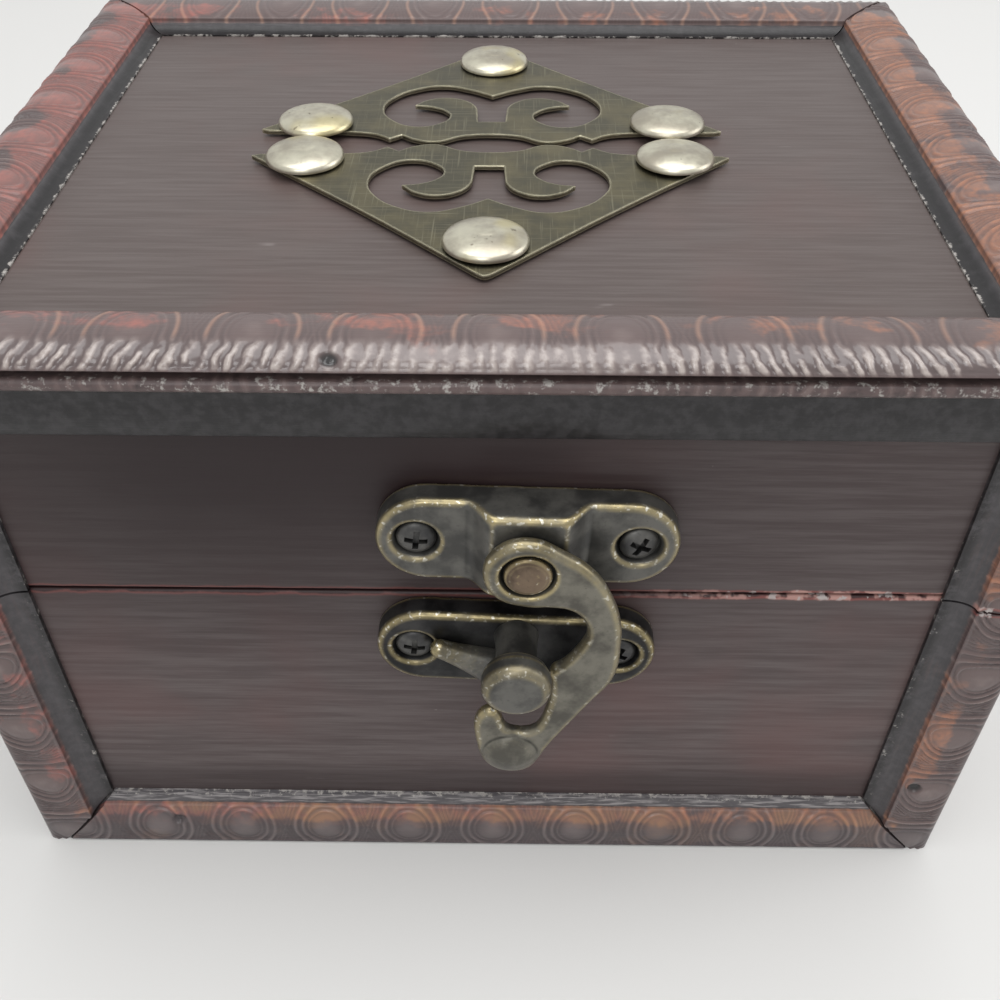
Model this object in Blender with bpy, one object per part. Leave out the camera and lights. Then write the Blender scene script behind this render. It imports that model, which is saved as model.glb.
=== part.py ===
"""Small wooden jewelry box with a hinged lid, carved-style mouldings and a hook latch.

The carcass is thin board: a floor, four walls, four lid rails and a top panel. Mouldings
are glued over its edges, two pressed scroll plates are tacked to the lid, a cast hook
latch holds it shut at the front, and two butt hinges carry it at the back.

Metres, +Z up, front towards -Y. The origin is the middle of the underside.
"""
import math

import bmesh
import bpy
from mathutils import Matrix, Vector

# The box as a whole
BOX_WIDTH = 0.1236
BOX_DEPTH = 0.102
BOX_HEIGHT = 0.080
SEAM_HEIGHT = 0.0476
FIT_GAP = 0.0003
OVERRUN = 0.002

# Boards of the carcass
WALL = 0.006
FLOOR_BOARD = 0.004
TOP_BOARD = 0.004
RECESS = 0.0028
FELT = 0.001

# Moulding round the top of the lid
FRAME_WIDTH = 0.0113
FRAME_DROP = 0.010
FRAME_CROWN = 0.0095
FRAME_CREST = 0.006
FRAME_SHOULDER = 0.0014
FRAME_SHOULDER_DROP = 0.0029
CROWN_LIP = 0.0004
FEATHER_EDGE = 0.0003
BEAD_RADIUS = 0.00095
BEAD_INSET = 0.00175
BEAD_DROP = 0.00425
FRAME_COVE_SAG = 0.00025
FRAME_LIP_INSET = 0.0019

# Moulding up the corners
CORNER_WIDTH = 0.0107
CORNER_CROWN = 0.0074
CORNER_CREST = 0.0043
CORNER_ROUND = 0.0018
CORNER_TOE = 0.0029
TOE_WEAR = 0.0005
TOE_WEAR_HEIGHT = 0.0080

# Moulding round the foot
FOOT_HEIGHT = 0.0088
FOOT_OVOLO = 0.0017
FOOT_OVOLO_BOTTOM = 0.0022
FOOT_OVOLO_TOP = 0.0074
FOOT_EASE = 0.0004

# Pressed scroll plates on the lid, and the tacks that hold them
PLATE = 0.0006
PLATE_HALF_WIDTH = 0.0291
PLATE_REACH = 0.0320
PLATE_BETWEEN = 0.0008
TACK_RADIUS = 0.0047
TACK_RISE = 0.0015
TACK_RIM = 0.0003
TACK_SHANK = 0.0008
TACK_LENGTH = 0.0030
TACK_APEX_Y = 0.0259
TACK_SIDE_X = 0.0223
TACK_SIDE_Y = 0.0051

# Cast hook latch
LATCH_PLATE_LENGTH = 0.0317
LATCH_PLATE_WIDTH = 0.0110
LATCH_PLATE = 0.0030
LATCH_EDGE = 0.0005
HOOK_PLATE_X = 0.00475
HOOK_PLATE_LIFT = 0.0049
HOOK_PLATE_TILT = math.radians(1.6)
CATCH_PLATE_X = 0.0037
CATCH_PLATE_DROP = 0.0008
CATCH_PLATE_TILT = math.radians(2.6)
BOSS_RISE = 0.0025
BOSS_WIDTH = 0.0070
BOSS_SLOPE = 0.0021
LATCH_SCREW_SPREAD = 0.0116
HOOK = 0.0018
HOOK_EDGE = 0.00035
HOOK_PIVOT_DROP = 0.0004
HOOK_REACH = 0.0333
HOOK_BORE = 0.0015
HOOK_CUP = 0.0029
HOOK_CUP_DEPTH = 0.0009
HOOK_KNOB = 0.0036
HOOK_KNOB_RISE = 0.0012
RIVET_HEAD = 0.0025
RIVET_RISE = 0.0008
CATCH_SEAM_DROP = 0.0036
CATCH_NECK = 0.0024
CATCH_BALL = 0.00355
CATCH_BALL_REACH = 0.0075
HORN_TIP = 0.0010
HORN_ROOT = 0.0018
HORN_REACH = 0.0086
HORN_FALL = 0.0030
HORN_STAND = 0.0007

# Screws of the latch
LATCH_SCREW_HEAD = 0.0021
LATCH_SCREW_HEAD_RISE = 0.0007
LATCH_SCREW_SHANK = 0.0010
LATCH_SCREW_LENGTH = 0.0065
LATCH_SINK = 0.0010

# Butt hinges and their screws
HINGE_INSET = 0.0288
HINGE_WIDTH = 0.022
HINGE_LEAF = 0.0010
HINGE_LEAF_HEIGHT = 0.0080
HINGE_STAND_OFF = 0.0007
HINGE_BARREL = 0.0019
HINGE_PIN = 0.0008
HINGE_PIN_HEAD = 0.0012
HINGE_SCREW_X = 0.0068
HINGE_SCREW_Z = 0.0052
HINGE_SCREW_HEAD = 0.0015
HINGE_SCREW_RISE = 0.0007
HINGE_SCREW_SHANK = 0.0008
HINGE_SCREW_LENGTH = 0.0050

# Smoothness of round work
ARC_STEPS = 6
PIN_SIDES = 20
HEAD_SIDES = 28
BALL_STEPS = 10

# What the sizes above give
HALF_WIDTH = BOX_WIDTH / 2
HALF_DEPTH = BOX_DEPTH / 2
WALL_X = HALF_WIDTH - RECESS
WALL_Y = HALF_DEPTH - RECESS
TRIM_BACK = RECESS - FIT_GAP
BASE_TOP = SEAM_HEIGHT - FIT_GAP / 2
LID_BOTTOM = SEAM_HEIGHT + FIT_GAP / 2
LID_FACE = BOX_HEIGHT - RECESS
TOP_BOARD_BOTTOM = LID_FACE - TOP_BOARD
HINGE_AXIS = Vector((0, HALF_DEPTH + HINGE_STAND_OFF, SEAM_HEIGHT))
LATCH_BACK = -WALL_Y - FIT_GAP
LATCH_FACE = LATCH_BACK - LATCH_PLATE
BOSS_FACE = LATCH_FACE - BOSS_RISE
HOOK_BACK = BOSS_FACE - FIT_GAP
HOOK_FACE = HOOK_BACK - HOOK
HOOK_PLATE_Z = SEAM_HEIGHT + HOOK_PLATE_LIFT + LATCH_PLATE_WIDTH / 2
CATCH_PLATE_Z = SEAM_HEIGHT - CATCH_PLATE_DROP - LATCH_PLATE_WIDTH / 2
HOOK_PIVOT = Vector((HOOK_PLATE_X, HOOK_BACK, HOOK_PLATE_Z - HOOK_PIVOT_DROP))
CATCH_AXIS = Vector((CATCH_PLATE_X, LATCH_FACE, SEAM_HEIGHT - CATCH_SEAM_DROP))


def start_scene():
    """Empty the file and make one collection for the box and one for its cutters."""
    for old in list(bpy.data.objects):
        bpy.data.objects.remove(old, do_unlink=True)
    made = []
    for name in ("jewelry_box", "cutters"):
        collection = bpy.data.collections.new(name)
        bpy.context.scene.collection.children.link(collection)
        made.append(collection)
    return made


BOX, CUTTERS = start_scene()


def finish(name, colour, roughness, metallic):
    """A plain Principled material."""
    material = bpy.data.materials.new(name)
    material.use_nodes = True
    shader = material.node_tree.nodes["Principled BSDF"]
    shader.inputs["Base Color"].default_value = (*colour, 1)
    shader.inputs["Roughness"].default_value = roughness
    shader.inputs["Metallic"].default_value = metallic
    return material


MAHOGANY = finish("mahogany_stain", (0.075, 0.045, 0.043), 0.45, 0)
MOULDING = finish("worn_moulding", (0.16, 0.070, 0.050), 0.5, 0)
BARE_WOOD = finish("bare_wood", (0.30, 0.19, 0.11), 0.7, 0)
FELT_CLOTH = finish("felt", (0.12, 0.012, 0.018), 0.95, 0)
PLATE_METAL = finish("pressed_bronze", (0.20, 0.19, 0.15), 0.4, 1)
CAST_METAL = finish("cast_bronze", (0.16, 0.13, 0.08), 0.4, 1)
TACK_METAL = finish("pale_brass", (0.55, 0.52, 0.40), 0.3, 1)


def keep(name, mesh, material, location=(0, 0, 0), angle=0, parent=None):
    """Put a mesh in the box's collection under its own name, turned about Z."""
    piece = bpy.data.objects.new(name, mesh)
    mesh.materials.clear()
    mesh.materials.append(material)
    home = Vector(location) - (parent.location if parent else Vector())
    piece.location = home
    piece.rotation_euler = (0, 0, angle)
    piece.parent = parent
    BOX.objects.link(piece)
    return piece


def cutter(mesh, location=(0, 0, 0)):
    """A helper object that other pieces are cut by or joined with."""
    tool = bpy.data.objects.new("tool", mesh)
    tool.location = location
    tool.hide_render = True
    tool.display_type = "WIRE"
    CUTTERS.objects.link(tool)
    return tool


def combine(piece, tool, operation):
    """Add one Boolean step to a piece."""
    step = piece.modifiers.new(operation.lower(), "BOOLEAN")
    step.operation = operation
    step.solver = "EXACT"
    step.object = tool


def mesh_of(bm):
    """Close a bmesh into a mesh, flat areas flat and round areas smooth."""
    bmesh.ops.recalc_face_normals(bm, faces=bm.faces)
    mesh = bpy.data.meshes.new("shape")
    bm.to_mesh(mesh)
    bm.free()
    mesh.shade_smooth()
    mesh.set_sharp_from_angle(angle=math.radians(40))
    return mesh


def block(low, high):
    """A rectangular block between two corners."""
    low, high = Vector(low), Vector(high)
    size = high - low
    bm = bmesh.new()
    bmesh.ops.create_cube(bm, size=1)
    bmesh.ops.scale(bm, vec=size, verts=bm.verts)
    bmesh.ops.translate(bm, vec=(low + high) / 2, verts=bm.verts)
    return mesh_of(bm)


def rod(radius, start, end, sides=PIN_SIDES):
    """A round bar between two points."""
    start, end = Vector(start), Vector(end)
    along = end - start
    bm = bmesh.new()
    bmesh.ops.create_cone(bm, cap_ends=True, segments=sides, radius1=radius, radius2=radius,
                          depth=along.length)
    turn = along.to_track_quat("Z", "Y").to_matrix()
    bmesh.ops.rotate(bm, matrix=turn, verts=bm.verts)
    bmesh.ops.translate(bm, vec=(start + end) / 2, verts=bm.verts)
    return mesh_of(bm)


def solid_curve(splines, thickness, edge=0, smooth=False, resolution=3):
    """A flat outline, holes included, given a thickness about its own plane."""
    curve = bpy.data.curves.new("outline", "CURVE")
    curve.dimensions = "2D"
    curve.fill_mode = "BOTH"
    curve.extrude = thickness / 2 - edge
    curve.bevel_depth = edge
    curve.bevel_resolution = 1
    curve.offset = -edge
    curve.resolution_u = resolution
    for points in splines:
        if smooth:
            spline = curve.splines.new("BEZIER")
            spline.bezier_points.add(len(points) - 1)
            for knot, (x, y, kind) in zip(spline.bezier_points, points):
                knot.co = (x, y, 0)
                knot.handle_left_type = knot.handle_right_type = kind
        else:
            spline = curve.splines.new("POLY")
            spline.points.add(len(points) - 1)
            for knot, (x, y) in zip(spline.points, points):
                knot.co = (x, y, 0, 1)
        spline.use_cyclic_u = True
    holder = bpy.data.objects.new("outline", curve)
    CUTTERS.objects.link(holder)
    bpy.context.view_layer.update()
    evaluated = holder.evaluated_get(bpy.context.evaluated_depsgraph_get())
    mesh = bpy.data.meshes.new_from_object(evaluated)
    bpy.data.objects.remove(holder)
    bpy.data.curves.remove(curve)
    bm = bmesh.new()
    bm.from_mesh(mesh)
    bmesh.ops.remove_doubles(bm, verts=bm.verts, dist=FIT_GAP / 1000)
    return bm


def turned(profile, steps=HEAD_SIDES):
    """A shape turned about Z from (radius, height) points that run from the top down."""
    bm = bmesh.new()
    ring = [bm.verts.new((radius, 0, height)) for radius, height in profile]
    edges = [bm.edges.new(pair) for pair in zip(ring, ring[1:])]
    bmesh.ops.spin(bm, geom=ring + edges, cent=(0, 0, 0), axis=(0, 0, 1),
                   angle=math.tau, steps=steps, use_merge=True)
    bmesh.ops.remove_doubles(bm, verts=bm.verts, dist=FIT_GAP / 100)
    return bm


def quarter(centre, across, along, start, steps=ARC_STEPS):
    """Points on a quarter of an ellipse that starts at an angle given in quarter turns."""
    points = []
    for step in range(steps + 1):
        angle = (start + step / steps) * math.pi / 2
        points.append((centre[0] + across * math.cos(angle), centre[1] + along * math.sin(angle)))
    return points


def cut_flat(bm, point, outward):
    """Cut everything beyond a plane away and close the cut."""
    geometry = list(bm.verts) + list(bm.edges) + list(bm.faces)
    found = bmesh.ops.bisect_plane(bm, geom=geometry, plane_co=point, plane_no=outward,
                                   clear_outer=True)
    rim = [item for item in found["geom_cut"] if isinstance(item, bmesh.types.BMEdge)]
    bmesh.ops.contextual_create(bm, geom=rim)


def moulding(profile, length):
    """A straight length along X; the profile gives (distance in from the face, height)."""
    bm = solid_curve([profile], length)
    lay_down = Matrix(((0, 0, 1), (1, 0, 0), (0, 1, 0)))
    bmesh.ops.rotate(bm, matrix=lay_down, verts=bm.verts)
    return bm


def make_carcass():
    """Floor, four walls, felt, four lid rails and the top panel, all plain board."""
    side_y = WALL_Y - WALL - FIT_GAP
    keep("floor_panel", block((-WALL_X, -WALL_Y, 0), (WALL_X, WALL_Y, FLOOR_BOARD)), BARE_WOOD)
    levels = (
        ("base", FLOOR_BOARD + FIT_GAP, BASE_TOP, "wall", None),
        ("lid", LID_BOTTOM, TOP_BOARD_BOTTOM - FIT_GAP, "rail", LID),
    )
    made = {}
    for level, low, high, word, parent in levels:
        for side, sign in (("front", -1), ("back", 1)):
            middle = (0, sign * (WALL_Y - WALL / 2), low)
            mesh = block((-WALL_X, -WALL / 2, 0), (WALL_X, WALL / 2, high - low))
            made[level, side] = keep(f"{level}_{side}_{word}", mesh, MAHOGANY, middle, 0, parent)
        for side, sign in (("left", -1), ("right", 1)):
            middle = (sign * (WALL_X - WALL / 2), 0, low)
            mesh = block((-WALL / 2, -side_y, 0), (WALL / 2, side_y, high - low))
            made[level, side] = keep(f"{level}_{side}_{word}", mesh, MAHOGANY, middle, 0, parent)
    felt_x = WALL_X - WALL - FIT_GAP
    felt_bottom = FLOOR_BOARD + FIT_GAP
    keep("felt_liner", block((-felt_x, -side_y, felt_bottom), (felt_x, side_y, felt_bottom + FELT)),
         FELT_CLOTH)
    top = block((-WALL_X, -WALL_Y, 0), (WALL_X, WALL_Y, TOP_BOARD))
    made["lid", "top"] = keep("lid_top_panel", top, MAHOGANY, (0, 0, TOP_BOARD_BOTTOM), 0, LID)
    return made


def frame_profile():
    """Section of the lid's moulding: cove, crown, bead and a leg down the rail."""
    crest = BOX_HEIGHT
    under = crest - TRIM_BACK
    cove_depth = TRIM_BACK - FEATHER_EDGE - CROWN_LIP
    bead = (BEAD_INSET, crest - BEAD_DROP)
    cove_top = bead[1] - BEAD_RADIUS
    leg_bottom = crest - FRAME_DROP
    points = [(FRAME_WIDTH, under)]
    points += quarter((FRAME_WIDTH, crest - CROWN_LIP), -(FRAME_WIDTH - FRAME_CROWN),
                      cove_depth, 3)
    points += quarter((FRAME_CREST, crest - CROWN_LIP), FRAME_CROWN - FRAME_CREST,
                      CROWN_LIP, 0, 3)[1:]
    shoulder = crest - FRAME_SHOULDER_DROP
    points += quarter((FRAME_CREST, shoulder), FRAME_CREST - FRAME_SHOULDER,
                      FRAME_SHOULDER_DROP, 1)[1:]
    points += quarter(bead, BEAD_RADIUS, BEAD_RADIUS, 1, 4)
    points += quarter(bead, BEAD_RADIUS, BEAD_RADIUS, 2, 4)[1:]
    for step in range(1, ARC_STEPS):
        part = step / ARC_STEPS
        sag = 4 * FRAME_COVE_SAG * part * (1 - part)
        inset = BEAD_INSET + (FRAME_LIP_INSET - BEAD_INSET) * part + sag
        points.append((inset, cove_top + (leg_bottom - cove_top) * part))
    points += [(FRAME_LIP_INSET, leg_bottom), (TRIM_BACK, leg_bottom), (TRIM_BACK, under)]
    return points


def foot_profile():
    """Section of the foot's moulding: an ovolo under a small cove."""
    cove_height = FOOT_HEIGHT - FOOT_OVOLO_TOP
    cove_depth = TRIM_BACK - FEATHER_EDGE - FOOT_OVOLO
    points = [(TRIM_BACK, 0), (FOOT_EASE, 0), (0, FOOT_EASE)]
    ovolo = quarter((FOOT_OVOLO, FOOT_OVOLO_BOTTOM), FOOT_OVOLO,
                    FOOT_OVOLO_TOP - FOOT_OVOLO_BOTTOM, 1)
    points += reversed(ovolo)
    points += [(FOOT_OVOLO + cove_depth / 3, FOOT_OVOLO_TOP + cove_height / 3)]
    points += [(FOOT_OVOLO + cove_depth, FOOT_HEIGHT), (TRIM_BACK, FOOT_HEIGHT)]
    return points


def corner_profile():
    """Plan of a corner moulding: two coved faces meeting at a rounded outer corner."""
    cove_depth = TRIM_BACK - FEATHER_EDGE - CROWN_LIP
    face = [(CORNER_WIDTH, TRIM_BACK)]
    face += quarter((CORNER_WIDTH, CROWN_LIP), -(CORNER_WIDTH - CORNER_CROWN), -cove_depth, 3)
    face += quarter((CORNER_CREST, CROWN_LIP), CORNER_CROWN - CORNER_CREST, -CROWN_LIP, 0, 3)[1:]
    turn = quarter((CORNER_ROUND, CORNER_ROUND), -CORNER_ROUND, -CORNER_ROUND, 1, ARC_STEPS)
    other = [(depth, along) for along, depth in reversed(face)]
    return face + list(turn) + other + [(TRIM_BACK, TRIM_BACK)]


def side_places():
    """Name, quarter turns from the front, run of the face and distance out, per side."""
    return (
        ("front", 0, BOX_WIDTH, HALF_DEPTH),
        ("right", 1, BOX_DEPTH, HALF_WIDTH),
        ("back", 2, BOX_WIDTH, HALF_DEPTH),
        ("left", 3, BOX_DEPTH, HALF_WIDTH),
    )


def make_frame_trims():
    """Four lengths round the lid, mitred at 45 degrees."""
    slack = FIT_GAP / 2
    for side, turns, run, out in side_places():
        bm = moulding(frame_profile(), run + OVERRUN)
        bmesh.ops.translate(bm, vec=(0, -out, 0), verts=bm.verts)
        for sign in (-1, 1):
            corner = (sign * (run / 2 - slack), -out, 0)
            cut_flat(bm, corner, (sign, 1, 0))
        keep(f"lid_frame_{side}", mesh_of(bm), MOULDING, (0, 0, 0), turns * math.pi / 2, LID)


def make_foot_trims():
    """Four lengths round the foot, cut on the slant where the corner mouldings come down."""
    slack = FIT_GAP / 2
    slope = FOOT_HEIGHT / (CORNER_WIDTH - CORNER_TOE)
    for side, turns, run, out in side_places():
        bm = moulding(foot_profile(), run + OVERRUN)
        bmesh.ops.translate(bm, vec=(0, -out, 0), verts=bm.verts)
        for sign in (-1, 1):
            slant = (sign * (run / 2 - CORNER_TOE - slack / slope - slack), -out, 0)
            cut_flat(bm, slant, (sign * slope, 0, 1))
        keep(f"foot_trim_{side}", mesh_of(bm), MOULDING, (0, 0, 0), turns * math.pi / 2)


def corner_places():
    """Name, quarter turns and corner point of the four corners, front left first."""
    return (
        ("front_left", 0, (-HALF_WIDTH, -HALF_DEPTH)),
        ("front_right", 1, (HALF_WIDTH, -HALF_DEPTH)),
        ("back_right", 2, (HALF_WIDTH, HALF_DEPTH)),
        ("back_left", 3, (-HALF_WIDTH, HALF_DEPTH)),
    )


def make_corner_trims():
    """A moulding up each corner of the base and of the lid, worn round at the foot."""
    slope = FOOT_HEIGHT / (CORNER_WIDTH - CORNER_TOE)
    worn = CORNER_ROUND * (1 - math.sqrt(0.5)) + TOE_WEAR
    lid_top = BOX_HEIGHT - FRAME_DROP - FIT_GAP
    for name, turns, (x, y) in corner_places():
        for level, low, high, parent in (("base", 0, BASE_TOP, None),
                                         ("lid", LID_BOTTOM, lid_top, LID)):
            bm = solid_curve([corner_profile()], high - low)
            bmesh.ops.translate(bm, vec=(0, 0, (high - low) / 2), verts=bm.verts)
            if level == "base":
                cut_flat(bm, (CORNER_TOE, 0, FIT_GAP / 2), (slope, 0, -1))
                cut_flat(bm, (0, CORNER_TOE, FIT_GAP / 2), (0, slope, -1))
                lean = TOE_WEAR / TOE_WEAR_HEIGHT
                cut_flat(bm, (worn, worn, 0), (-1, -1, -2 * lean))
                bmesh.ops.remove_doubles(bm, verts=bm.verts, dist=FIT_GAP / 20)
            keep(f"{level}_corner_{name}", mesh_of(bm), MOULDING, (x, y, low),
                 turns * math.pi / 2, parent)


# Outline of half a scroll plate, from the middle of its long edge round to the apex, as
# shares of the plate's half width and reach. "VECTOR" marks a sharp corner.
PLATE_EDGE_SHARES = (
    (0.000, 0.070, "AUTO"), (0.120, 0.055, "AUTO"), (0.235, 0.000, "AUTO"),
    (0.330, 0.022, "AUTO"), (0.385, 0.062, "VECTOR"), (0.435, 0.024, "VECTOR"),
    (0.500, 0.066, "AUTO"), (0.600, 0.085, "AUTO"), (0.965, 0.095, "VECTOR"),
    (1.000, 0.108, "VECTOR"), (0.506, 0.538, "AUTO"), (0.030, 0.985, "VECTOR"),
    (0.000, 1.000, "AUTO"),
)
# Half of the opening between the two scrolls, from the top of the stem round to the cusp.
SCROLL_SHARES = (
    (0.000, 0.190, "VECTOR"), (0.060, 0.190, "VECTOR"), (0.064, 0.270, "AUTO"),
    (0.075, 0.345, "AUTO"), (0.125, 0.405, "AUTO"), (0.200, 0.432, "AUTO"),
    (0.290, 0.410, "AUTO"), (0.350, 0.352, "VECTOR"), (0.275, 0.338, "AUTO"),
    (0.212, 0.300, "AUTO"), (0.186, 0.245, "AUTO"), (0.222, 0.178, "AUTO"),
    (0.330, 0.140, "AUTO"), (0.440, 0.205, "AUTO"), (0.485, 0.320, "AUTO"),
    (0.445, 0.440, "AUTO"), (0.350, 0.525, "AUTO"), (0.230, 0.560, "AUTO"),
    (0.105, 0.520, "AUTO"), (0.000, 0.455, "VECTOR"),
)


def mirrored_outline(shares):
    """A closed outline from the right half's shares and their mirror image."""
    half = [(x * PLATE_HALF_WIDTH, -y * PLATE_REACH, kind) for x, y, kind in shares]
    left = [(-x, y, kind) for x, y, kind in reversed(half) if x > 0]
    return half + left


def tack_profile():
    """A domed head, its rim and a pointed shank, as (radius, height) from the top."""
    dome = quarter((0, TACK_RIM), TACK_RADIUS, TACK_RISE - TACK_RIM, 0)
    points = list(reversed(dome))
    points[0] = (0, TACK_RISE)
    points += [(TACK_RADIUS, 0), (TACK_SHANK, 0)]
    points += [(TACK_SHANK, -TACK_LENGTH + TACK_SHANK), (0, -TACK_LENGTH)]
    return points


def make_scroll_plates(top_panel):
    """Two pressed plates that face each other across the lid, each with three tacks."""
    plate_z = LID_FACE + FIT_GAP + PLATE / 2
    hole_radius = TACK_SHANK + FIT_GAP
    head_z = LID_FACE + 2 * FIT_GAP + PLATE
    hole_bottom = head_z - TACK_LENGTH - FIT_GAP
    places = (("apex", 0, TACK_APEX_Y), ("left", -TACK_SIDE_X, TACK_SIDE_Y),
              ("right", TACK_SIDE_X, TACK_SIDE_Y))
    outline = [mirrored_outline(PLATE_EDGE_SHARES), mirrored_outline(SCROLL_SHARES)]
    for side, sign in (("front", -1), ("rear", 1)):
        bm = solid_curve(outline, PLATE, smooth=True)
        plate = keep(f"scroll_plate_{side}", mesh_of(bm), PLATE_METAL,
                     (0, sign * PLATE_BETWEEN / 2, plate_z), 0 if sign < 0 else math.pi, LID)
        for place, x, y in places:
            spot = Vector((x, sign * y, head_z))
            hole = cutter(rod(hole_radius, (x, sign * y, hole_bottom), spot))
            combine(plate, hole, "DIFFERENCE")
            combine(top_panel, hole, "DIFFERENCE")
            keep(f"tack_{side}_{place}", mesh_of(turned(tack_profile())), TACK_METAL, spot, 0,
                 LID)


def face_forward(bm):
    """Turn a shape made in plan so that its top faces the front."""
    bmesh.ops.rotate(bm, matrix=Matrix.Rotation(math.pi / 2, 3, "X"), verts=bm.verts)


def obround(length, width):
    """Outline of a bar with round ends."""
    radius = width / 2
    middle = length / 2 - radius
    points = quarter((middle, 0), radius, radius, -1) + quarter((middle, 0), radius, radius, 0)[1:]
    points += quarter((-middle, 0), radius, radius, 1) + quarter((-middle, 0), radius, radius, 2)[1:]
    return points


def screw_profile(head, rise, shank, length):
    """A slightly domed head on a pointed shank."""
    points = [(0, rise), (head / 2, rise), (head, rise / 2), (head, 0), (shank, 0)]
    points += [(shank, -length + shank), (0, -length)]
    return points


def make_screw(name, profile, spot, towards, parent):
    """One screw, driven in along Y; towards is -1 for the front and 1 for the back."""
    bm = turned(profile, PIN_SIDES)
    turn = Matrix.Rotation(-towards * math.pi / 2, 3, "X")
    bmesh.ops.rotate(bm, matrix=turn, verts=bm.verts)
    metal = CAST_METAL
    return keep(name, mesh_of(bm), metal, spot, 0, parent)


def latch_blank(x, z, tilt, rise):
    """The obround body of a latch plate, tall enough for what rises from it."""
    bm = solid_curve([obround(LATCH_PLATE_LENGTH, LATCH_PLATE_WIDTH)], LATCH_PLATE + rise,
                     edge=LATCH_EDGE)
    face_forward(bm)
    bmesh.ops.translate(bm, vec=(0, -(LATCH_PLATE + rise) / 2, 0), verts=bm.verts)
    bmesh.ops.rotate(bm, matrix=Matrix.Rotation(tilt, 3, "Y"), verts=bm.verts)
    return mesh_of(bm), Vector((x, LATCH_BACK, z))


def fasten_latch_plate(plate, wall, names, x, z, tilt, parent):
    """Sunk holes and screws at both ends of a latch plate."""
    sink = LATCH_SCREW_HEAD + FIT_GAP
    bore = LATCH_SCREW_SHANK + FIT_GAP
    seat = LATCH_FACE + LATCH_SINK
    head_under = seat - FIT_GAP
    tip = head_under + LATCH_SCREW_LENGTH
    profile = screw_profile(LATCH_SCREW_HEAD, LATCH_SCREW_HEAD_RISE, LATCH_SCREW_SHANK,
                            LATCH_SCREW_LENGTH)
    for name, sign in zip(names, (-1, 1)):
        spot_x = x + sign * LATCH_SCREW_SPREAD * math.cos(tilt)
        spot_z = z - sign * LATCH_SCREW_SPREAD * math.sin(tilt)
        front = (spot_x, LATCH_FACE - OVERRUN, spot_z)
        combine(plate, cutter(rod(sink, front, (spot_x, seat, spot_z))), "DIFFERENCE")
        hole = cutter(rod(bore, front, (spot_x, tip + FIT_GAP, spot_z)))
        combine(plate, hole, "DIFFERENCE")
        combine(wall, hole, "DIFFERENCE")
        make_screw(name, profile, (spot_x, head_under, spot_z), -1, parent)


def make_hook_plate(rail):
    """The plate on the lid, with the raised boss that carries the hook."""
    mesh, spot = latch_blank(HOOK_PLATE_X, HOOK_PLATE_Z, HOOK_PLATE_TILT, BOSS_RISE)
    plate = keep("latch_hook_plate", mesh, CAST_METAL, spot, 0, LID)
    reach = LATCH_PLATE_LENGTH / 2 + OVERRUN
    rise = BOSS_RISE + OVERRUN
    for sign in (-1, 1):
        foot = BOSS_WIDTH / 2 + BOSS_SLOPE
        slope_run = BOSS_SLOPE * rise / BOSS_RISE
        wedge = [(sign * foot, 0), (sign * reach, 0), (sign * reach, -rise),
                 (sign * (foot - slope_run), -rise)]
        bm = solid_curve([wedge], LATCH_PLATE_WIDTH + OVERRUN)
        bmesh.ops.rotate(bm, matrix=Matrix.Rotation(HOOK_PLATE_TILT, 3, "Y"), verts=bm.verts)
        tool = cutter(mesh_of(bm), (HOOK_PLATE_X, LATCH_FACE, HOOK_PLATE_Z))
        combine(plate, tool, "DIFFERENCE")
    fasten_latch_plate(plate, rail, ("latch_screw_upper_left", "latch_screw_upper_right"),
                       HOOK_PLATE_X, HOOK_PLATE_Z, HOOK_PLATE_TILT, LID)
    bore_end = (HOOK_PIVOT.x, LATCH_BACK - FIT_GAP, HOOK_PIVOT.z)
    bore = rod(HOOK_BORE, (HOOK_PIVOT.x, HOOK_FACE, HOOK_PIVOT.z), bore_end)
    combine(plate, cutter(bore), "DIFFERENCE")


def make_rivet():
    """The rivet that the hook turns on: a low head in the hook's cup."""
    shank = HOOK_BORE - FIT_GAP
    cup_floor = HOOK_FACE + HOOK_CUP_DEPTH
    under = cup_floor - FIT_GAP
    length = LATCH_BACK - 2 * FIT_GAP - under
    profile = [(0, RIVET_RISE), (RIVET_HEAD * 0.6, RIVET_RISE * 0.9), (RIVET_HEAD, RIVET_RISE / 2),
               (RIVET_HEAD, 0), (shank, 0), (shank, -length), (0, -length)]
    bm = turned(profile)
    face_forward(bm)
    keep("hook_rivet", mesh_of(bm), CAST_METAL, (HOOK_PIVOT.x, under, HOOK_PIVOT.z), 0, LID)


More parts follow.
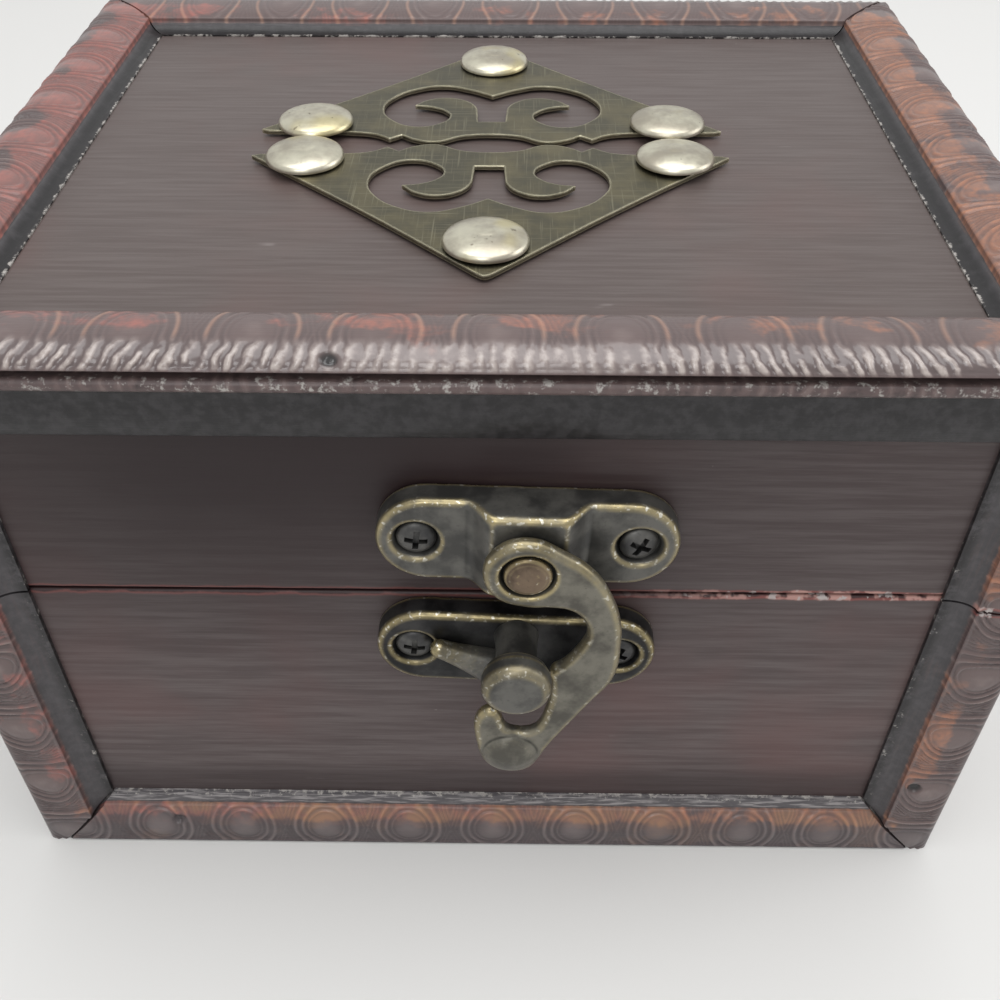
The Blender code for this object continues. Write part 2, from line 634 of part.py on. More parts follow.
# Outline of the hook below its round head, clockwise from the head's upper right, as shares
# of the hook's reach from the pivot to its lowest point: across, then down.
HOOK_SHARES = (
    (0.000, -0.132, "AUTO"), (0.116, -0.075, "AUTO"), (0.197, -0.008, "AUTO"),
    (0.257, 0.093, "AUTO"), (0.293, 0.207, "AUTO"), (0.302, 0.321, "AUTO"),
    (0.289, 0.472, "AUTO"), (0.221, 0.598, "AUTO"), (0.142, 0.738, "AUTO"),
    (0.076, 0.862, "AUTO"), (0.051, 0.923, "AUTO"), (0.016, 0.977, "AUTO"),
    (-0.039, 0.997, "AUTO"), (-0.094, 0.983, "AUTO"), (-0.130, 0.949, "AUTO"),
    (-0.154, 0.897, "AUTO"), (-0.164, 0.838, "AUTO"), (-0.170, 0.787, "AUTO"),
    (-0.172, 0.730, "AUTO"), (-0.162, 0.687, "AUTO"), (-0.141, 0.659, "AUTO"),
    (-0.110, 0.651, "AUTO"), (-0.089, 0.676, "AUTO"), (-0.076, 0.721, "AUTO"),
    (-0.058, 0.756, "AUTO"), (-0.019, 0.771, "AUTO"), (0.029, 0.761, "AUTO"),
    (0.055, 0.725, "AUTO"), (0.074, 0.655, "AUTO"), (0.089, 0.574, "AUTO"),
    (0.090, 0.508, "AUTO"), (0.088, 0.437, "AUTO"), (0.116, 0.415, "AUTO"),
    (0.140, 0.386, "AUTO"), (0.166, 0.343, "AUTO"), (0.184, 0.306, "AUTO"),
    (0.197, 0.255, "AUTO"), (0.179, 0.189, "AUTO"), (0.134, 0.147, "AUTO"),
    (0.074, 0.135, "AUTO"), (0.000, 0.134, "AUTO"), (-0.095, 0.095, "AUTO"),
    (-0.134, 0.000, "AUTO"), (-0.095, -0.095, "AUTO"),
)
# Middle of the domed thumb knob, in the same shares.
KNOB_SHARES = (-0.050, 0.880)


def make_hook():
    """The flat cast hook: round head, crescent arm, open jaw and a domed thumb knob."""
    outline = [(x * HOOK_REACH, -z * HOOK_REACH, kind) for x, z, kind in HOOK_SHARES]
    bm = solid_curve([outline], HOOK, edge=HOOK_EDGE, smooth=True)
    face_forward(bm)
    bmesh.ops.translate(bm, vec=(0, -HOOK / 2, 0), verts=bm.verts)
    hook = keep("latch_hook", mesh_of(bm), CAST_METAL, HOOK_PIVOT, 0, LID)
    behind = HOOK_BACK + OVERRUN
    ahead = HOOK_FACE - OVERRUN
    x, z = HOOK_PIVOT.x, HOOK_PIVOT.z
    combine(hook, cutter(rod(HOOK_BORE, (x, behind, z), (x, ahead, z))), "DIFFERENCE")
    cup = rod(HOOK_CUP, (x, HOOK_FACE + HOOK_CUP_DEPTH, z), (x, ahead, z), HEAD_SIDES)
    combine(hook, cutter(cup), "DIFFERENCE")
    dome = quarter((0, -HOOK_EDGE), HOOK_KNOB, HOOK_KNOB_RISE + HOOK_EDGE, 0)
    bm = turned([*reversed(dome), (HOOK_KNOB, -HOOK / 2), (0, -HOOK / 2)])
    face_forward(bm)
    across, down = KNOB_SHARES
    knob = (x + across * HOOK_REACH, HOOK_FACE, z - down * HOOK_REACH)
    combine(hook, cutter(mesh_of(bm), knob), "UNION")


def make_catch(wall):
    """The plate on the base, cast in one with its ball-ended catch and a raised horn."""
    mesh, spot = latch_blank(CATCH_PLATE_X, CATCH_PLATE_Z, CATCH_PLATE_TILT, 0)
    plate = keep("latch_catch_plate", mesh, CAST_METAL, spot)
    fasten_latch_plate(plate, wall, ("latch_screw_lower_left", "latch_screw_lower_right"),
                       CATCH_PLATE_X, CATCH_PLATE_Z, CATCH_PLATE_TILT, None)
    join_angle = math.asin(CATCH_NECK / CATCH_BALL)
    profile = []
    for step in range(BALL_STEPS + 1):
        angle = (math.pi - join_angle) * step / BALL_STEPS
        profile.append((CATCH_BALL * math.sin(angle),
                        CATCH_BALL_REACH + CATCH_BALL * math.cos(angle)))
    profile += [(CATCH_NECK, 0), (CATCH_NECK, -LATCH_PLATE / 2), (0, -LATCH_PLATE / 2)]
    profile[0] = (0, CATCH_BALL_REACH + CATCH_BALL)
    bm = turned(profile)
    face_forward(bm)
    combine(plate, cutter(mesh_of(bm), CATCH_AXIS), "UNION")
    tip = CATCH_AXIS + Vector((-HORN_REACH, -HORN_STAND, -HORN_TIP))
    root = CATCH_AXIS + Vector((-CATCH_NECK, -HORN_STAND, -HORN_TIP - HORN_FALL))
    along = tip - root
    cap = [*reversed(quarter((0, along.length), HORN_TIP, HORN_TIP, 0))]
    bm = turned(cap + [*reversed(quarter((0, 0), HORN_ROOT, HORN_ROOT, -1))], PIN_SIDES)
    turn = along.to_track_quat("Z", "Y").to_matrix()
    bmesh.ops.rotate(bm, matrix=turn, verts=bm.verts)
    combine(plate, cutter(mesh_of(bm), root), "UNION")


def knuckle_profile(up):
    """Section of a knuckle: the barrel, and its arm on the side of its own leaf."""
    axis_y, axis_z = HINGE_AXIS.y, HINGE_AXIS.z
    inside = WALL_Y + FIT_GAP + HINGE_LEAF / 2
    arm_near, arm_far = 2 * FIT_GAP, HINGE_BARREL - FIT_GAP
    start = math.pi - math.asin(arm_near / HINGE_BARREL)
    end = 3 * math.pi - math.asin(arm_far / HINGE_BARREL)
    points = [(inside, axis_z + up * arm_near)]
    for step in range(PIN_SIDES + 1):
        angle = start + (end - start) * step / PIN_SIDES
        points.append((axis_y + HINGE_BARREL * math.cos(angle),
                       axis_z + up * HINGE_BARREL * math.sin(angle)))
    return points + [(inside, axis_z + up * arm_far)]


def make_hinge(side, x, base_wall, lid_rail):
    """A butt hinge: a base leaf with two knuckles, a lid leaf with one, and the pin."""
    face = WALL_Y + FIT_GAP
    third = HINGE_WIDTH / 3
    axis_y, axis_z = HINGE_AXIS.y, HINGE_AXIS.z
    bore = HINGE_PIN + FIT_GAP
    leaves = (("base", -1, base_wall, None, (-1, 1)), ("lid", 1, lid_rail, LID, (0,)))
    for level, up, wall, parent, thirds in leaves:
        low, high = sorted((axis_z + up * FIT_GAP, axis_z + up * (HINGE_LEAF_HEIGHT + FIT_GAP)))
        mesh = block((-HINGE_WIDTH / 2, 0, 0), (HINGE_WIDTH / 2, HINGE_LEAF, high - low))
        leaf = keep(f"hinge_{side}_{level}_leaf", mesh, CAST_METAL, (x, face, low), 0, parent)
        for place in thirds:
            bm = moulding(knuckle_profile(up), third - FIT_GAP)
            combine(leaf, cutter(mesh_of(bm), (x + place * third, 0, 0)), "UNION")
        hole = rod(bore, (x - HINGE_WIDTH, axis_y, axis_z), (x + HINGE_WIDTH, axis_y, axis_z))
        combine(leaf, cutter(hole), "DIFFERENCE")
        profile = screw_profile(HINGE_SCREW_HEAD, HINGE_SCREW_RISE, HINGE_SCREW_SHANK,
                                HINGE_SCREW_LENGTH)
        under = face + HINGE_LEAF + FIT_GAP
        for place, sign in (("left", -1), ("right", 1)):
            spot = Vector((x + sign * HINGE_SCREW_X, under, axis_z + up * HINGE_SCREW_Z))
            inner = (spot.x, under - HINGE_SCREW_LENGTH - FIT_GAP, spot.z)
            outer = (spot.x, under + OVERRUN, spot.z)
            hole = cutter(rod(HINGE_SCREW_SHANK + FIT_GAP, inner, outer))
            combine(leaf, hole, "DIFFERENCE")
            combine(wall, hole, "DIFFERENCE")
            make_screw(f"hinge_{side}_{level}_screw_{place}", profile, spot, 1, parent)
    pin_half = HINGE_WIDTH / 2 + FIT_GAP
    pin_end = pin_half + HINGE_PIN
    bm = turned([(0, pin_end), (HINGE_PIN_HEAD, pin_end), (HINGE_PIN_HEAD, pin_half),
                 (HINGE_PIN, pin_half), (HINGE_PIN, -pin_half), (HINGE_PIN_HEAD, -pin_half),
                 (HINGE_PIN_HEAD, -pin_end), (0, -pin_end)], PIN_SIDES)
    bmesh.ops.rotate(bm, matrix=Matrix.Rotation(math.pi / 2, 3, "Y"), verts=bm.verts)
    keep(f"hinge_{side}_pin", mesh_of(bm), CAST_METAL, (x, axis_y, axis_z))


LID = bpy.data.objects.new("lid_hinge_axis", None)
LID.location = HINGE_AXIS
BOX.objects.link(LID)

boards = make_carcass()
make_frame_trims()
make_foot_trims()
make_corner_trims()
make_scroll_plates(boards["lid", "top"])
make_hook_plate(boards["lid", "front"])
make_rivet()
make_hook()
make_catch(boards["base", "front"])
for hinge_side, sign in (("left", -1), ("right", 1)):
    hinge_x = sign * (HALF_WIDTH - HINGE_INSET)
    make_hinge(hinge_side, hinge_x, boards["base", "back"], boards["lid", "back"])
bpy.context.view_layer.update()
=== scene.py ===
"""Dressed scene of a small wooden jewelry box with pressed mouldings and a hook latch.

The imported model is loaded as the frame, and each piece gets the shape and finish of the
real one in the order in which the box is put together. Metres, +Z up, front towards -Y.
"""
import math

import bmesh
import bpy
import numpy as np
from mathutils import Matrix, Vector


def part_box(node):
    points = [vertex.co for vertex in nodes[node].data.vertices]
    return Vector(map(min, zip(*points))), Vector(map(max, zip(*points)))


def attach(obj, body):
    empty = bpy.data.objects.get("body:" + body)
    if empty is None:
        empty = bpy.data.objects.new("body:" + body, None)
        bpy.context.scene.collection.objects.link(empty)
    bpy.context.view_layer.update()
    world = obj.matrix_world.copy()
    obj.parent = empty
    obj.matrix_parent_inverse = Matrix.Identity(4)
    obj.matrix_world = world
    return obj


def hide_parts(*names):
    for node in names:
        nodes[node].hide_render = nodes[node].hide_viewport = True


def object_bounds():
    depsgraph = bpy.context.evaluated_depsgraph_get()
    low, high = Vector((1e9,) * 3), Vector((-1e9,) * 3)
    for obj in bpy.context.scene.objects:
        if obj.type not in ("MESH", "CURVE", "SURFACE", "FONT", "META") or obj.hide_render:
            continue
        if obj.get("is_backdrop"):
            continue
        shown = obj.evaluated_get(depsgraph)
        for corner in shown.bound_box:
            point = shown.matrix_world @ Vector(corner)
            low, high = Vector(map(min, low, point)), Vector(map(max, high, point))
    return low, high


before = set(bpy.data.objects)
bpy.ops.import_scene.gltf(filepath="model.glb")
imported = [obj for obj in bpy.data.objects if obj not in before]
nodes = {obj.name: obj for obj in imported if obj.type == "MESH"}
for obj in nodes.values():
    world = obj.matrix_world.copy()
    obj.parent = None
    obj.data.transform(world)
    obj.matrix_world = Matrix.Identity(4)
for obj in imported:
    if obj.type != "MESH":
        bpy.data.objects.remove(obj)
cad_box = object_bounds()


# Camera, floor and light.
# The box is seen from close above its front edge, as it was photographed. It stands on a
# plain pale table under one broad soft light, with weaker ones in front and at the right.

def in_scene(name, data):
    """An object that holds some data, put in the scene."""
    made = bpy.data.objects.new(name, data)
    bpy.context.scene.collection.objects.link(made)
    return made


camera = in_scene("camera", bpy.data.cameras.new("camera"))
camera.location = (0.0030, -0.1354, 0.1362)
camera.rotation_euler = (math.radians(45.74), 0, math.radians(0.775))
camera.data.lens = 39.92
camera.data.sensor_width = 36
camera.data.shift_y = 0.0694
camera.data.clip_start = 0.001
bpy.context.scene.camera = camera
bpy.context.scene.view_settings.view_transform = "Standard"


def put(value, socket):
    """Give a socket a value, or link another socket to it."""
    if isinstance(value, bpy.types.NodeSocket):
        socket.id_data.links.new(value, socket)
    else:
        socket.default_value = value


def fill(sockets, **values):
    """Put values or links in sockets; a space in a socket's name is _ here."""
    for label, value in values.items():
        put(value, sockets[label.replace("_", " ")])


def new_finish(name):
    """An empty material with its Principled shader."""
    material = bpy.data.materials.new(name)
    material.use_nodes = True
    return material, material.node_tree, material.node_tree.nodes["Principled BSDF"]


TABLE_COLOUR = (0.64, 0.635, 0.625, 1)
TABLE_HALF = 20
table_finish, tree, shader = new_finish("pale_table")
fill(shader.inputs, Base_Color=TABLE_COLOUR, Roughness=0.9)
bm = bmesh.new()
bmesh.ops.create_grid(bm, x_segments=1, y_segments=1, size=TABLE_HALF)
mesh = bpy.data.meshes.new("table")
bm.to_mesh(mesh)
bm.free()
mesh.materials.append(table_finish)
table = in_scene("table", mesh)
table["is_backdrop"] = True

# Name, place, point aimed at, size and power of each lamp.
LAMPS = (
    ("overhead", (0.05, -0.05, 0.80), (0, 0, 0.05), 0.80, 4.6),
    ("behind_camera", (-0.15, -0.80, 0.62), (0, 0, 0.04), 0.40, 1.8),
    ("right_side", (0.80, 0.05, 0.35), (0, 0, 0.05), 0.50, 1.6),
)
for name, place, aim, size, power in LAMPS:
    light = bpy.data.lights.new(name, "AREA")
    light.size = size
    light.energy = power
    lamp = in_scene(name, light)
    lamp.location = place
    lamp.rotation_euler = (Vector(aim) - Vector(place)).to_track_quat("-Z", "Y").to_euler()

world = bpy.data.worlds.new("room")
bpy.context.scene.world = world
world.use_nodes = True
fill(world.node_tree.nodes["Background"].inputs, Color=(0.98, 0.985, 0.98, 1), Strength=0.74)


# Carcass: floor, walls, rails and top panel.
# Thin plain board, stained dark mahogany and lacquered. Butt-jointed and glued. Where the
# lid meets the base the arrises are rubbed through to red and to pale primer.

def add(tree, kind, inputs=None, **settings):
    """Add a node, set its options, and fill its inputs with values or with links."""
    made = tree.nodes.new(kind)
    for option, value in settings.items():
        setattr(made, option, value)
    for socket, value in (inputs or {}).items():
        put(value, made.inputs[socket])
    return made


def tree_of(*values):
    """The node tree that the sockets among some values belong to."""
    return next(value.id_data for value in values if isinstance(value, bpy.types.NodeSocket))


def maths(operation, *values):
    """One Math node."""
    return add(tree_of(*values), "ShaderNodeMath", dict(enumerate(values)), operation=operation).outputs[0]


def times(first, *others):
    """Values multiplied together."""
    for other in others:
        first = maths("MULTIPLY", first, other)
    return first


def minus(first, second):
    """One value less another."""
    return maths("SUBTRACT", first, second)


def scaled(value, factor, lift):
    """A value times a factor, plus a lift."""
    return maths("MULTIPLY_ADD", value, factor, lift)


def rise(value, low, high):
    """A smooth step from 0 at low to 1 at high; low may be the larger."""
    inputs = {"Value": value, "From Min": low, "From Max": high}
    return add(value.id_data, "ShaderNodeMapRange", inputs, interpolation_type="SMOOTHSTEP").outputs[0]


def mix(factor, first, second):
    """One Mix node for colours."""
    inputs = {0: factor, 6: first, 7: second}
    return add(tree_of(factor, first, second), "ShaderNodeMix", inputs, data_type="RGBA").outputs[2]


def noise(vector, scale, detail, roughness):
    """One Noise Texture, its factor."""
    inputs = {"Vector": vector, "Scale": scale, "Detail": detail, "Roughness": roughness}
    return add(vector.id_data, "ShaderNodeTexNoise", inputs).outputs["Fac"]


def stretched(vector, scale):
    """A place scaled along each axis."""
    inputs = {0: vector, 1: scale}
    return add(vector.id_data, "ShaderNodeVectorMath", inputs, operation="MULTIPLY").outputs[0]


def parts_of(vector):
    """A place's X, Y and Z."""
    return add(vector.id_data, "ShaderNodeSeparateXYZ", {0: vector}).outputs


def object_place(tree):
    """Where a point is on its object."""
    return add(tree, "ShaderNodeTexCoord").outputs["Object"]


def new_group(family, name, takes, gives):
    """A node group with named inputs and outputs, and the sockets of its two end nodes."""
    group = bpy.data.node_groups.new(name, family)
    for label, kind, value in takes:
        socket = group.interface.new_socket(label, in_out="INPUT", socket_type=f"NodeSocket{kind}")
        if value is not None:
            socket.default_value = value
    for label, kind in gives:
        group.interface.new_socket(label, in_out="OUTPUT", socket_type=f"NodeSocket{kind}")
    return group, group.nodes.new("NodeGroupInput").outputs, group.nodes.new("NodeGroupOutput").inputs


# Fine straight fibres, soft clouds of stain, and short pale scratches and specks.
WOOD_GRAIN, takes, gives = new_group(
    "ShaderNodeTree", "wood_grain",
    (("Vector", "Vector", None), ("Fibre Scale", "Float", 1400.0), ("Cloud Scale", "Float", 28.0),
     ("Scratches", "Float", 0.5)),
    (("Fibres", "Float"), ("Clouds", "Float"), ("Marks", "Float")))
fibres = noise(stretched(takes["Vector"], (0.045, 1, 1)), takes["Fibre Scale"], 4, 0.65)
clouds = noise(takes["Vector"], takes["Cloud Scale"], 3, 0.6)
scratch = rise(noise(stretched(takes["Vector"], (0.30, 1, 1)), 480, 2, 0.5), 0.73, 0.84)
speck = rise(noise(takes["Vector"], 900, 2, 0.6), 0.77, 0.84)
marks = times(maths("MAXIMUM", scratch, speck), takes["Scratches"])
fill(gives, Fibres=fibres, Clouds=clouds, Marks=marks)


def use(group, **values):
    """Place a node group with its own values."""
    made = add(tree_of(*values.values()), "ShaderNodeGroup", node_tree=group)
    fill(made.inputs, **values)
    return made.outputs


def bump(shader, height, strength, distance):
    """Feed a height to the shader's normal."""
    inputs = {"Height": height, "Strength": strength, "Distance": distance}
    put(add(shader.id_data, "ShaderNodeBump", inputs).outputs[0], shader.inputs["Normal"])


STAIN_DARK = (0.060, 0.042, 0.043, 1)
STAIN = (0.107, 0.086, 0.086, 1)
STAIN_RED = (0.125, 0.062, 0.060, 1)
# Near black brown, for the painted shade on upright boards and the darker band just above the foot.
DARK_TONE = (0.013, 0.006, 0.007, 1)
# A dusty grey tone mixed into the stains; it also paints the sheen of reflected light, most on the lid.
DUST_AND_SHEEN = (0.098, 0.078, 0.068)
PRIMER = (0.36, 0.32, 0.31, 1)
BARE_RED = (0.20, 0.050, 0.042, 1)
PINK_WEAR = (0.42, 0.24, 0.21, 1)
SEAM_BLACK = (0.010, 0.007, 0.008, 1)

# Where each effect starts and where it is full: heights above the table, distances to the
# right of the middle, out from the outer faces, and off the middle of the seam.
SHADE_UNDER_LID = (0.026, 0.066)
DARK_ABOVE_FOOT = (0.0165, 0.0115)
SHADE_TO_LEFT = (0.045, -0.015)
LESS_SHADE_AT_LEFT_END = (-0.030, -0.055)
WORN_RIGHT = (0.010, 0.038)
SKIN = (-0.0014, -0.0007)
BLACK_AT_SEAM = (0.00105, 0.00075)
RED_AT_SEAM = (0.00135, 0.00100)
SEAM_WANDER = 0.0010
SHADE_EDGE_WANDER = 0.014
GAP = 0.0003
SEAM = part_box("base_front_wall")[1].z + GAP / 2
BOARD_FACES = (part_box("base_right_wall")[1].x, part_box("base_back_wall")[1].y)


def seam_wear(place, tone, faces):
    """The outer arrises at the seam: black in the gap, dark red beside it, and rubbed to
    pink and pale primer towards the right. Faces are the outer faces' x and y."""
    side, depth, height = parts_of(place)
    outside = [minus(maths("ABSOLUTE", value), face) for value, face in zip((side, depth), faces)]
    skin = rise(maths("MAXIMUM", *outside), *SKIN)
    off_seam = maths("ABSOLUTE", minus(height, SEAM))
    off_seam = scaled(noise(place, 210, 4, 0.7), SEAM_WANDER, off_seam)
    near = times(rise(off_seam, *RED_AT_SEAM), skin)
    right = rise(side, *WORN_RIGHT)
    tone = mix(times(near, scaled(right, 0.35, 0.45)), tone, BARE_RED)
    tone = mix(times(rise(off_seam, *BLACK_AT_SEAM), skin, 0.85), tone, SEAM_BLACK)
    patches = rise(noise(place, 330, 3, 0.6), 0.48, 0.56)
    tone = mix(times(near, patches, right, 0.85), tone, PINK_WEAR)
    chips = rise(noise(place, 520, 3, 0.6), 0.57, 0.63)
    return mix(times(near, chips, right), tone, PRIMER)


def stained_board(name, turn, gloss, grey, upright):
    """Mahogany stain with its grain along X, or along Y when turned a quarter, greyed by a share of a dust
    tone that also paints the sheen of reflected light. On upright boards shade is painted into the colour,
    dark under the lid's moulding and more so towards the left, and the colour is darker just above the foot
    trim."""
    material, tree, shader = new_finish(name)
    place = object_place(tree)
    turned_place = add(tree, "ShaderNodeMapping", {"Vector": place, "Rotation": (0, 0, turn)})
    grain = use(WOOD_GRAIN, Vector=turned_place.outputs[0], Scratches=0.30)
    dark, plain, red = [tuple(part * (1 - grey) + grey_part * grey for part, grey_part in zip(colour, DUST_AND_SHEEN)) + (1,)
                        for colour in (STAIN_DARK, STAIN, STAIN_RED)]
    tone = mix(rise(grain["Fibres"], 0.32, 0.70), dark, plain)
    tone = mix(times(rise(grain["Clouds"], 0.48, 0.72), 0.55), tone, red)
    tone = mix(grain["Marks"], tone, PRIMER)
    side, depth, height = parts_of(place)
    # Painted shade on upright boards: dark high up under the lid's moulding, more so towards the left and
    # less at the very left end, with a wandering lower edge.
    uneven = scaled(minus(grain["Clouds"], 0.5), SHADE_EDGE_WANDER, height)
    painted_shade = scaled(rise(side, *SHADE_TO_LEFT), 0.62, 0.36)
    painted_shade = scaled(rise(side, *LESS_SHADE_AT_LEFT_END), -0.22, painted_shade)
    tone = mix(times(rise(uneven, *SHADE_UNDER_LID), upright, painted_shade), tone, DARK_TONE)
    # Darker just above the foot trim.
    tone = mix(times(rise(height, *DARK_ABOVE_FOOT), 0.55 * upright), tone, DARK_TONE)
    tone = seam_wear(place, tone, BOARD_FACES)
    fill(shader.inputs, Base_Color=tone, Roughness=scaled(grain["Clouds"], 0.25, gloss),
         Specular_IOR_Level=0.36)
    bump(shader, maths("ADD", grain["Fibres"], times(grain["Marks"], 0.5)), 0.35, 0.00007)
    return material


WELD = 0.000001
BOARD_EASE = 0.0004
LONG_ARRIS = 0.004
SHARP_ARRIS = 1.0


def eased_copy(node, ease):
    """A CAD node's shape with its long arrises worn round."""
    bm = bmesh.new()
    bm.from_mesh(nodes[node].data)
    bmesh.ops.remove_doubles(bm, verts=bm.verts, dist=WELD)
    bmesh.ops.dissolve_limit(bm, angle_limit=math.radians(1), verts=bm.verts, edges=bm.edges)
    arrises = [edge for edge in bm.edges if edge.is_manifold and edge.calc_length() > LONG_ARRIS
               and edge.calc_face_angle() > SHARP_ARRIS]
    bmesh.ops.bevel(bm, geom=arrises, offset=ease, segments=3, profile=0.5, affect="EDGES")
    return bm


def piece(name, bm, material, body, slot, *stands_for):
    """Finish a mesh as a piece that rides on a body and stands for CAD nodes."""
    mesh = bpy.data.meshes.new(name)
    bm.to_mesh(mesh)
    bm.free()
    mesh.shade_smooth()
    mesh.set_sharp_from_angle(angle=math.radians(40))
    mesh.materials.append(material)
    made = in_scene(name, mesh)
    even = made.modifiers.new("even_flats", "WEIGHTED_NORMAL")
    even.keep_sharp = True
    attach(made, body)
    if stands_for:
        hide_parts(*stands_for)
    return made


board_along = stained_board("mahogany_stain_along", 0, 0.34, 0.12, 1.0)
board_across = stained_board("mahogany_stain_across", math.pi / 2, 0.34, 0.12, 1.0)
for body, word in (("base", "wall"), ("lid", "rail")):
    for side in ("front", "back", "left", "right"):
        node = f"{body}_{side}_{word}"
        finish = board_along if side in ("front", "back") else board_across
        piece(f"board_{node}", eased_copy(node, BOARD_EASE), finish, body, "mahogany_stain", node)
lid_board = stained_board("mahogany_stain_lid", 0, 0.30, 0.45, 0.0)
nodes["lid_top_panel"].material_slots[0].material = lid_board

bare_board, tree, shader = new_finish("unfinished_board")
grain = use(WOOD_GRAIN, Vector=object_place(tree), Fibre_Scale=900.0, Scratches=0.2)
tone = mix(rise(grain["Fibres"], 0.3, 0.7), (0.24, 0.145, 0.080, 1), (0.40, 0.27, 0.16, 1))
fill(shader.inputs, Base_Color=tone, Roughness=0.75)
bump(shader, grain["Fibres"], 0.4, 0.0001)
nodes["floor_panel"].material_slots[0].material = bare_board


# Felt on the floor of the box.
# A loose-cut rectangle of thin red felt, laid on the floor panel inside the walls.
# It isn't glued, so it lifts out.

FELT_THICKNESS = 0.0009
FELT_CELL = 0.0021
low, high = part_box("felt_liner")
felt_size = high - low
bm = bmesh.new()
columns, rows = round(felt_size.x / FELT_CELL), round(felt_size.y / FELT_CELL)
bmesh.ops.create_grid(bm, x_segments=columns, y_segments=rows, size=0.5)
bmesh.ops.scale(bm, vec=(felt_size.x, felt_size.y, 1), verts=bm.verts)
bmesh.ops.translate(bm, vec=(0, 0, low.z), verts=bm.verts)
top = bmesh.ops.extrude_face_region(bm, geom=list(bm.faces))["geom"]
bmesh.ops.translate(bm, vec=(0, 0, FELT_THICKNESS),
                    verts=[item for item in top if isinstance(item, bmesh.types.BMVert)])
bmesh.ops.recalc_face_normals(bm, faces=bm.faces)

felt_finish, tree, shader = new_finish("red_felt")
place = object_place(tree)
fuzz = noise(place, 2600, 3, 0.7)
tone = mix(fuzz, (0.085, 0.006, 0.010, 1), (0.21, 0.022, 0.030, 1))
tone = mix(times(noise(place, 60, 3, 0.6), 0.35), tone, (0.060, 0.006, 0.010, 1))
fill(shader.inputs, Base_Color=tone, Roughness=0.95, Sheen_Weight=0.5, Sheen_Roughness=0.4)
bump(shader, fuzz, 0.6, 0.0002)
felt = piece("felt_sheet", bm, felt_finish, "base", "felt", "felt_liner")


# Pressed mouldings.
# Soft wood strips with an egg-and-dart ornament rolled into the crown, glazed near black
# and rubbed back to red and orange. Mitred round the lid, up the corners, along the foot.

PITCH = 0.01145
EGG_LENGTH, EGG_WIDTH = 0.20, 0.77
EGG_HIGH = 0.85
# Middle, half width and height of each ring, in egg radii; middle of each dart, in pitches.
RINGS = ((1.06, 0.11, 0.65), (1.40, 0.15, 0.90), (1.86, 0.16, 1.0))
DARTS = (0.455, 0.500, 0.545)
DART_HALF, DART_HIGH, DART_FAN = 0.018, 0.50, 0.09
RIBS_IN_PITCH, RIB_HALF, RIB_LEAN = 8.0, 0.34, 1.6
RIBS_LEAN_OVER = (-0.045, 0.045)
RIBS_WORN_FLAT = (0.006, 0.030)
LINE_HALF = 0.13
NAIL_HOLE = (0.0011, 0.0005)
NAIL_DEPTH = 0.0005
CELL = 0.00021


def ridge(value, centre, half):
    """A soft ridge where a value passes its centre."""
    off = maths("DIVIDE", minus(value, centre), half)
    return maths("POWER", maths("MAXIMUM", minus(1.0, times(off, off)), 0.0), 1.4)


def put_out(tree, geometry, given, gives):
    """Realize a tree's instances, set its finish and give out the geometry."""
    whole = add(tree, "GeometryNodeRealizeInstances", {"Geometry": geometry}).outputs[0]
    dressed = add(tree, "GeometryNodeSetMaterial", {"Geometry": whole, "Material": given["Finish"]})
    put(dressed.outputs[0], gives["Geometry"])


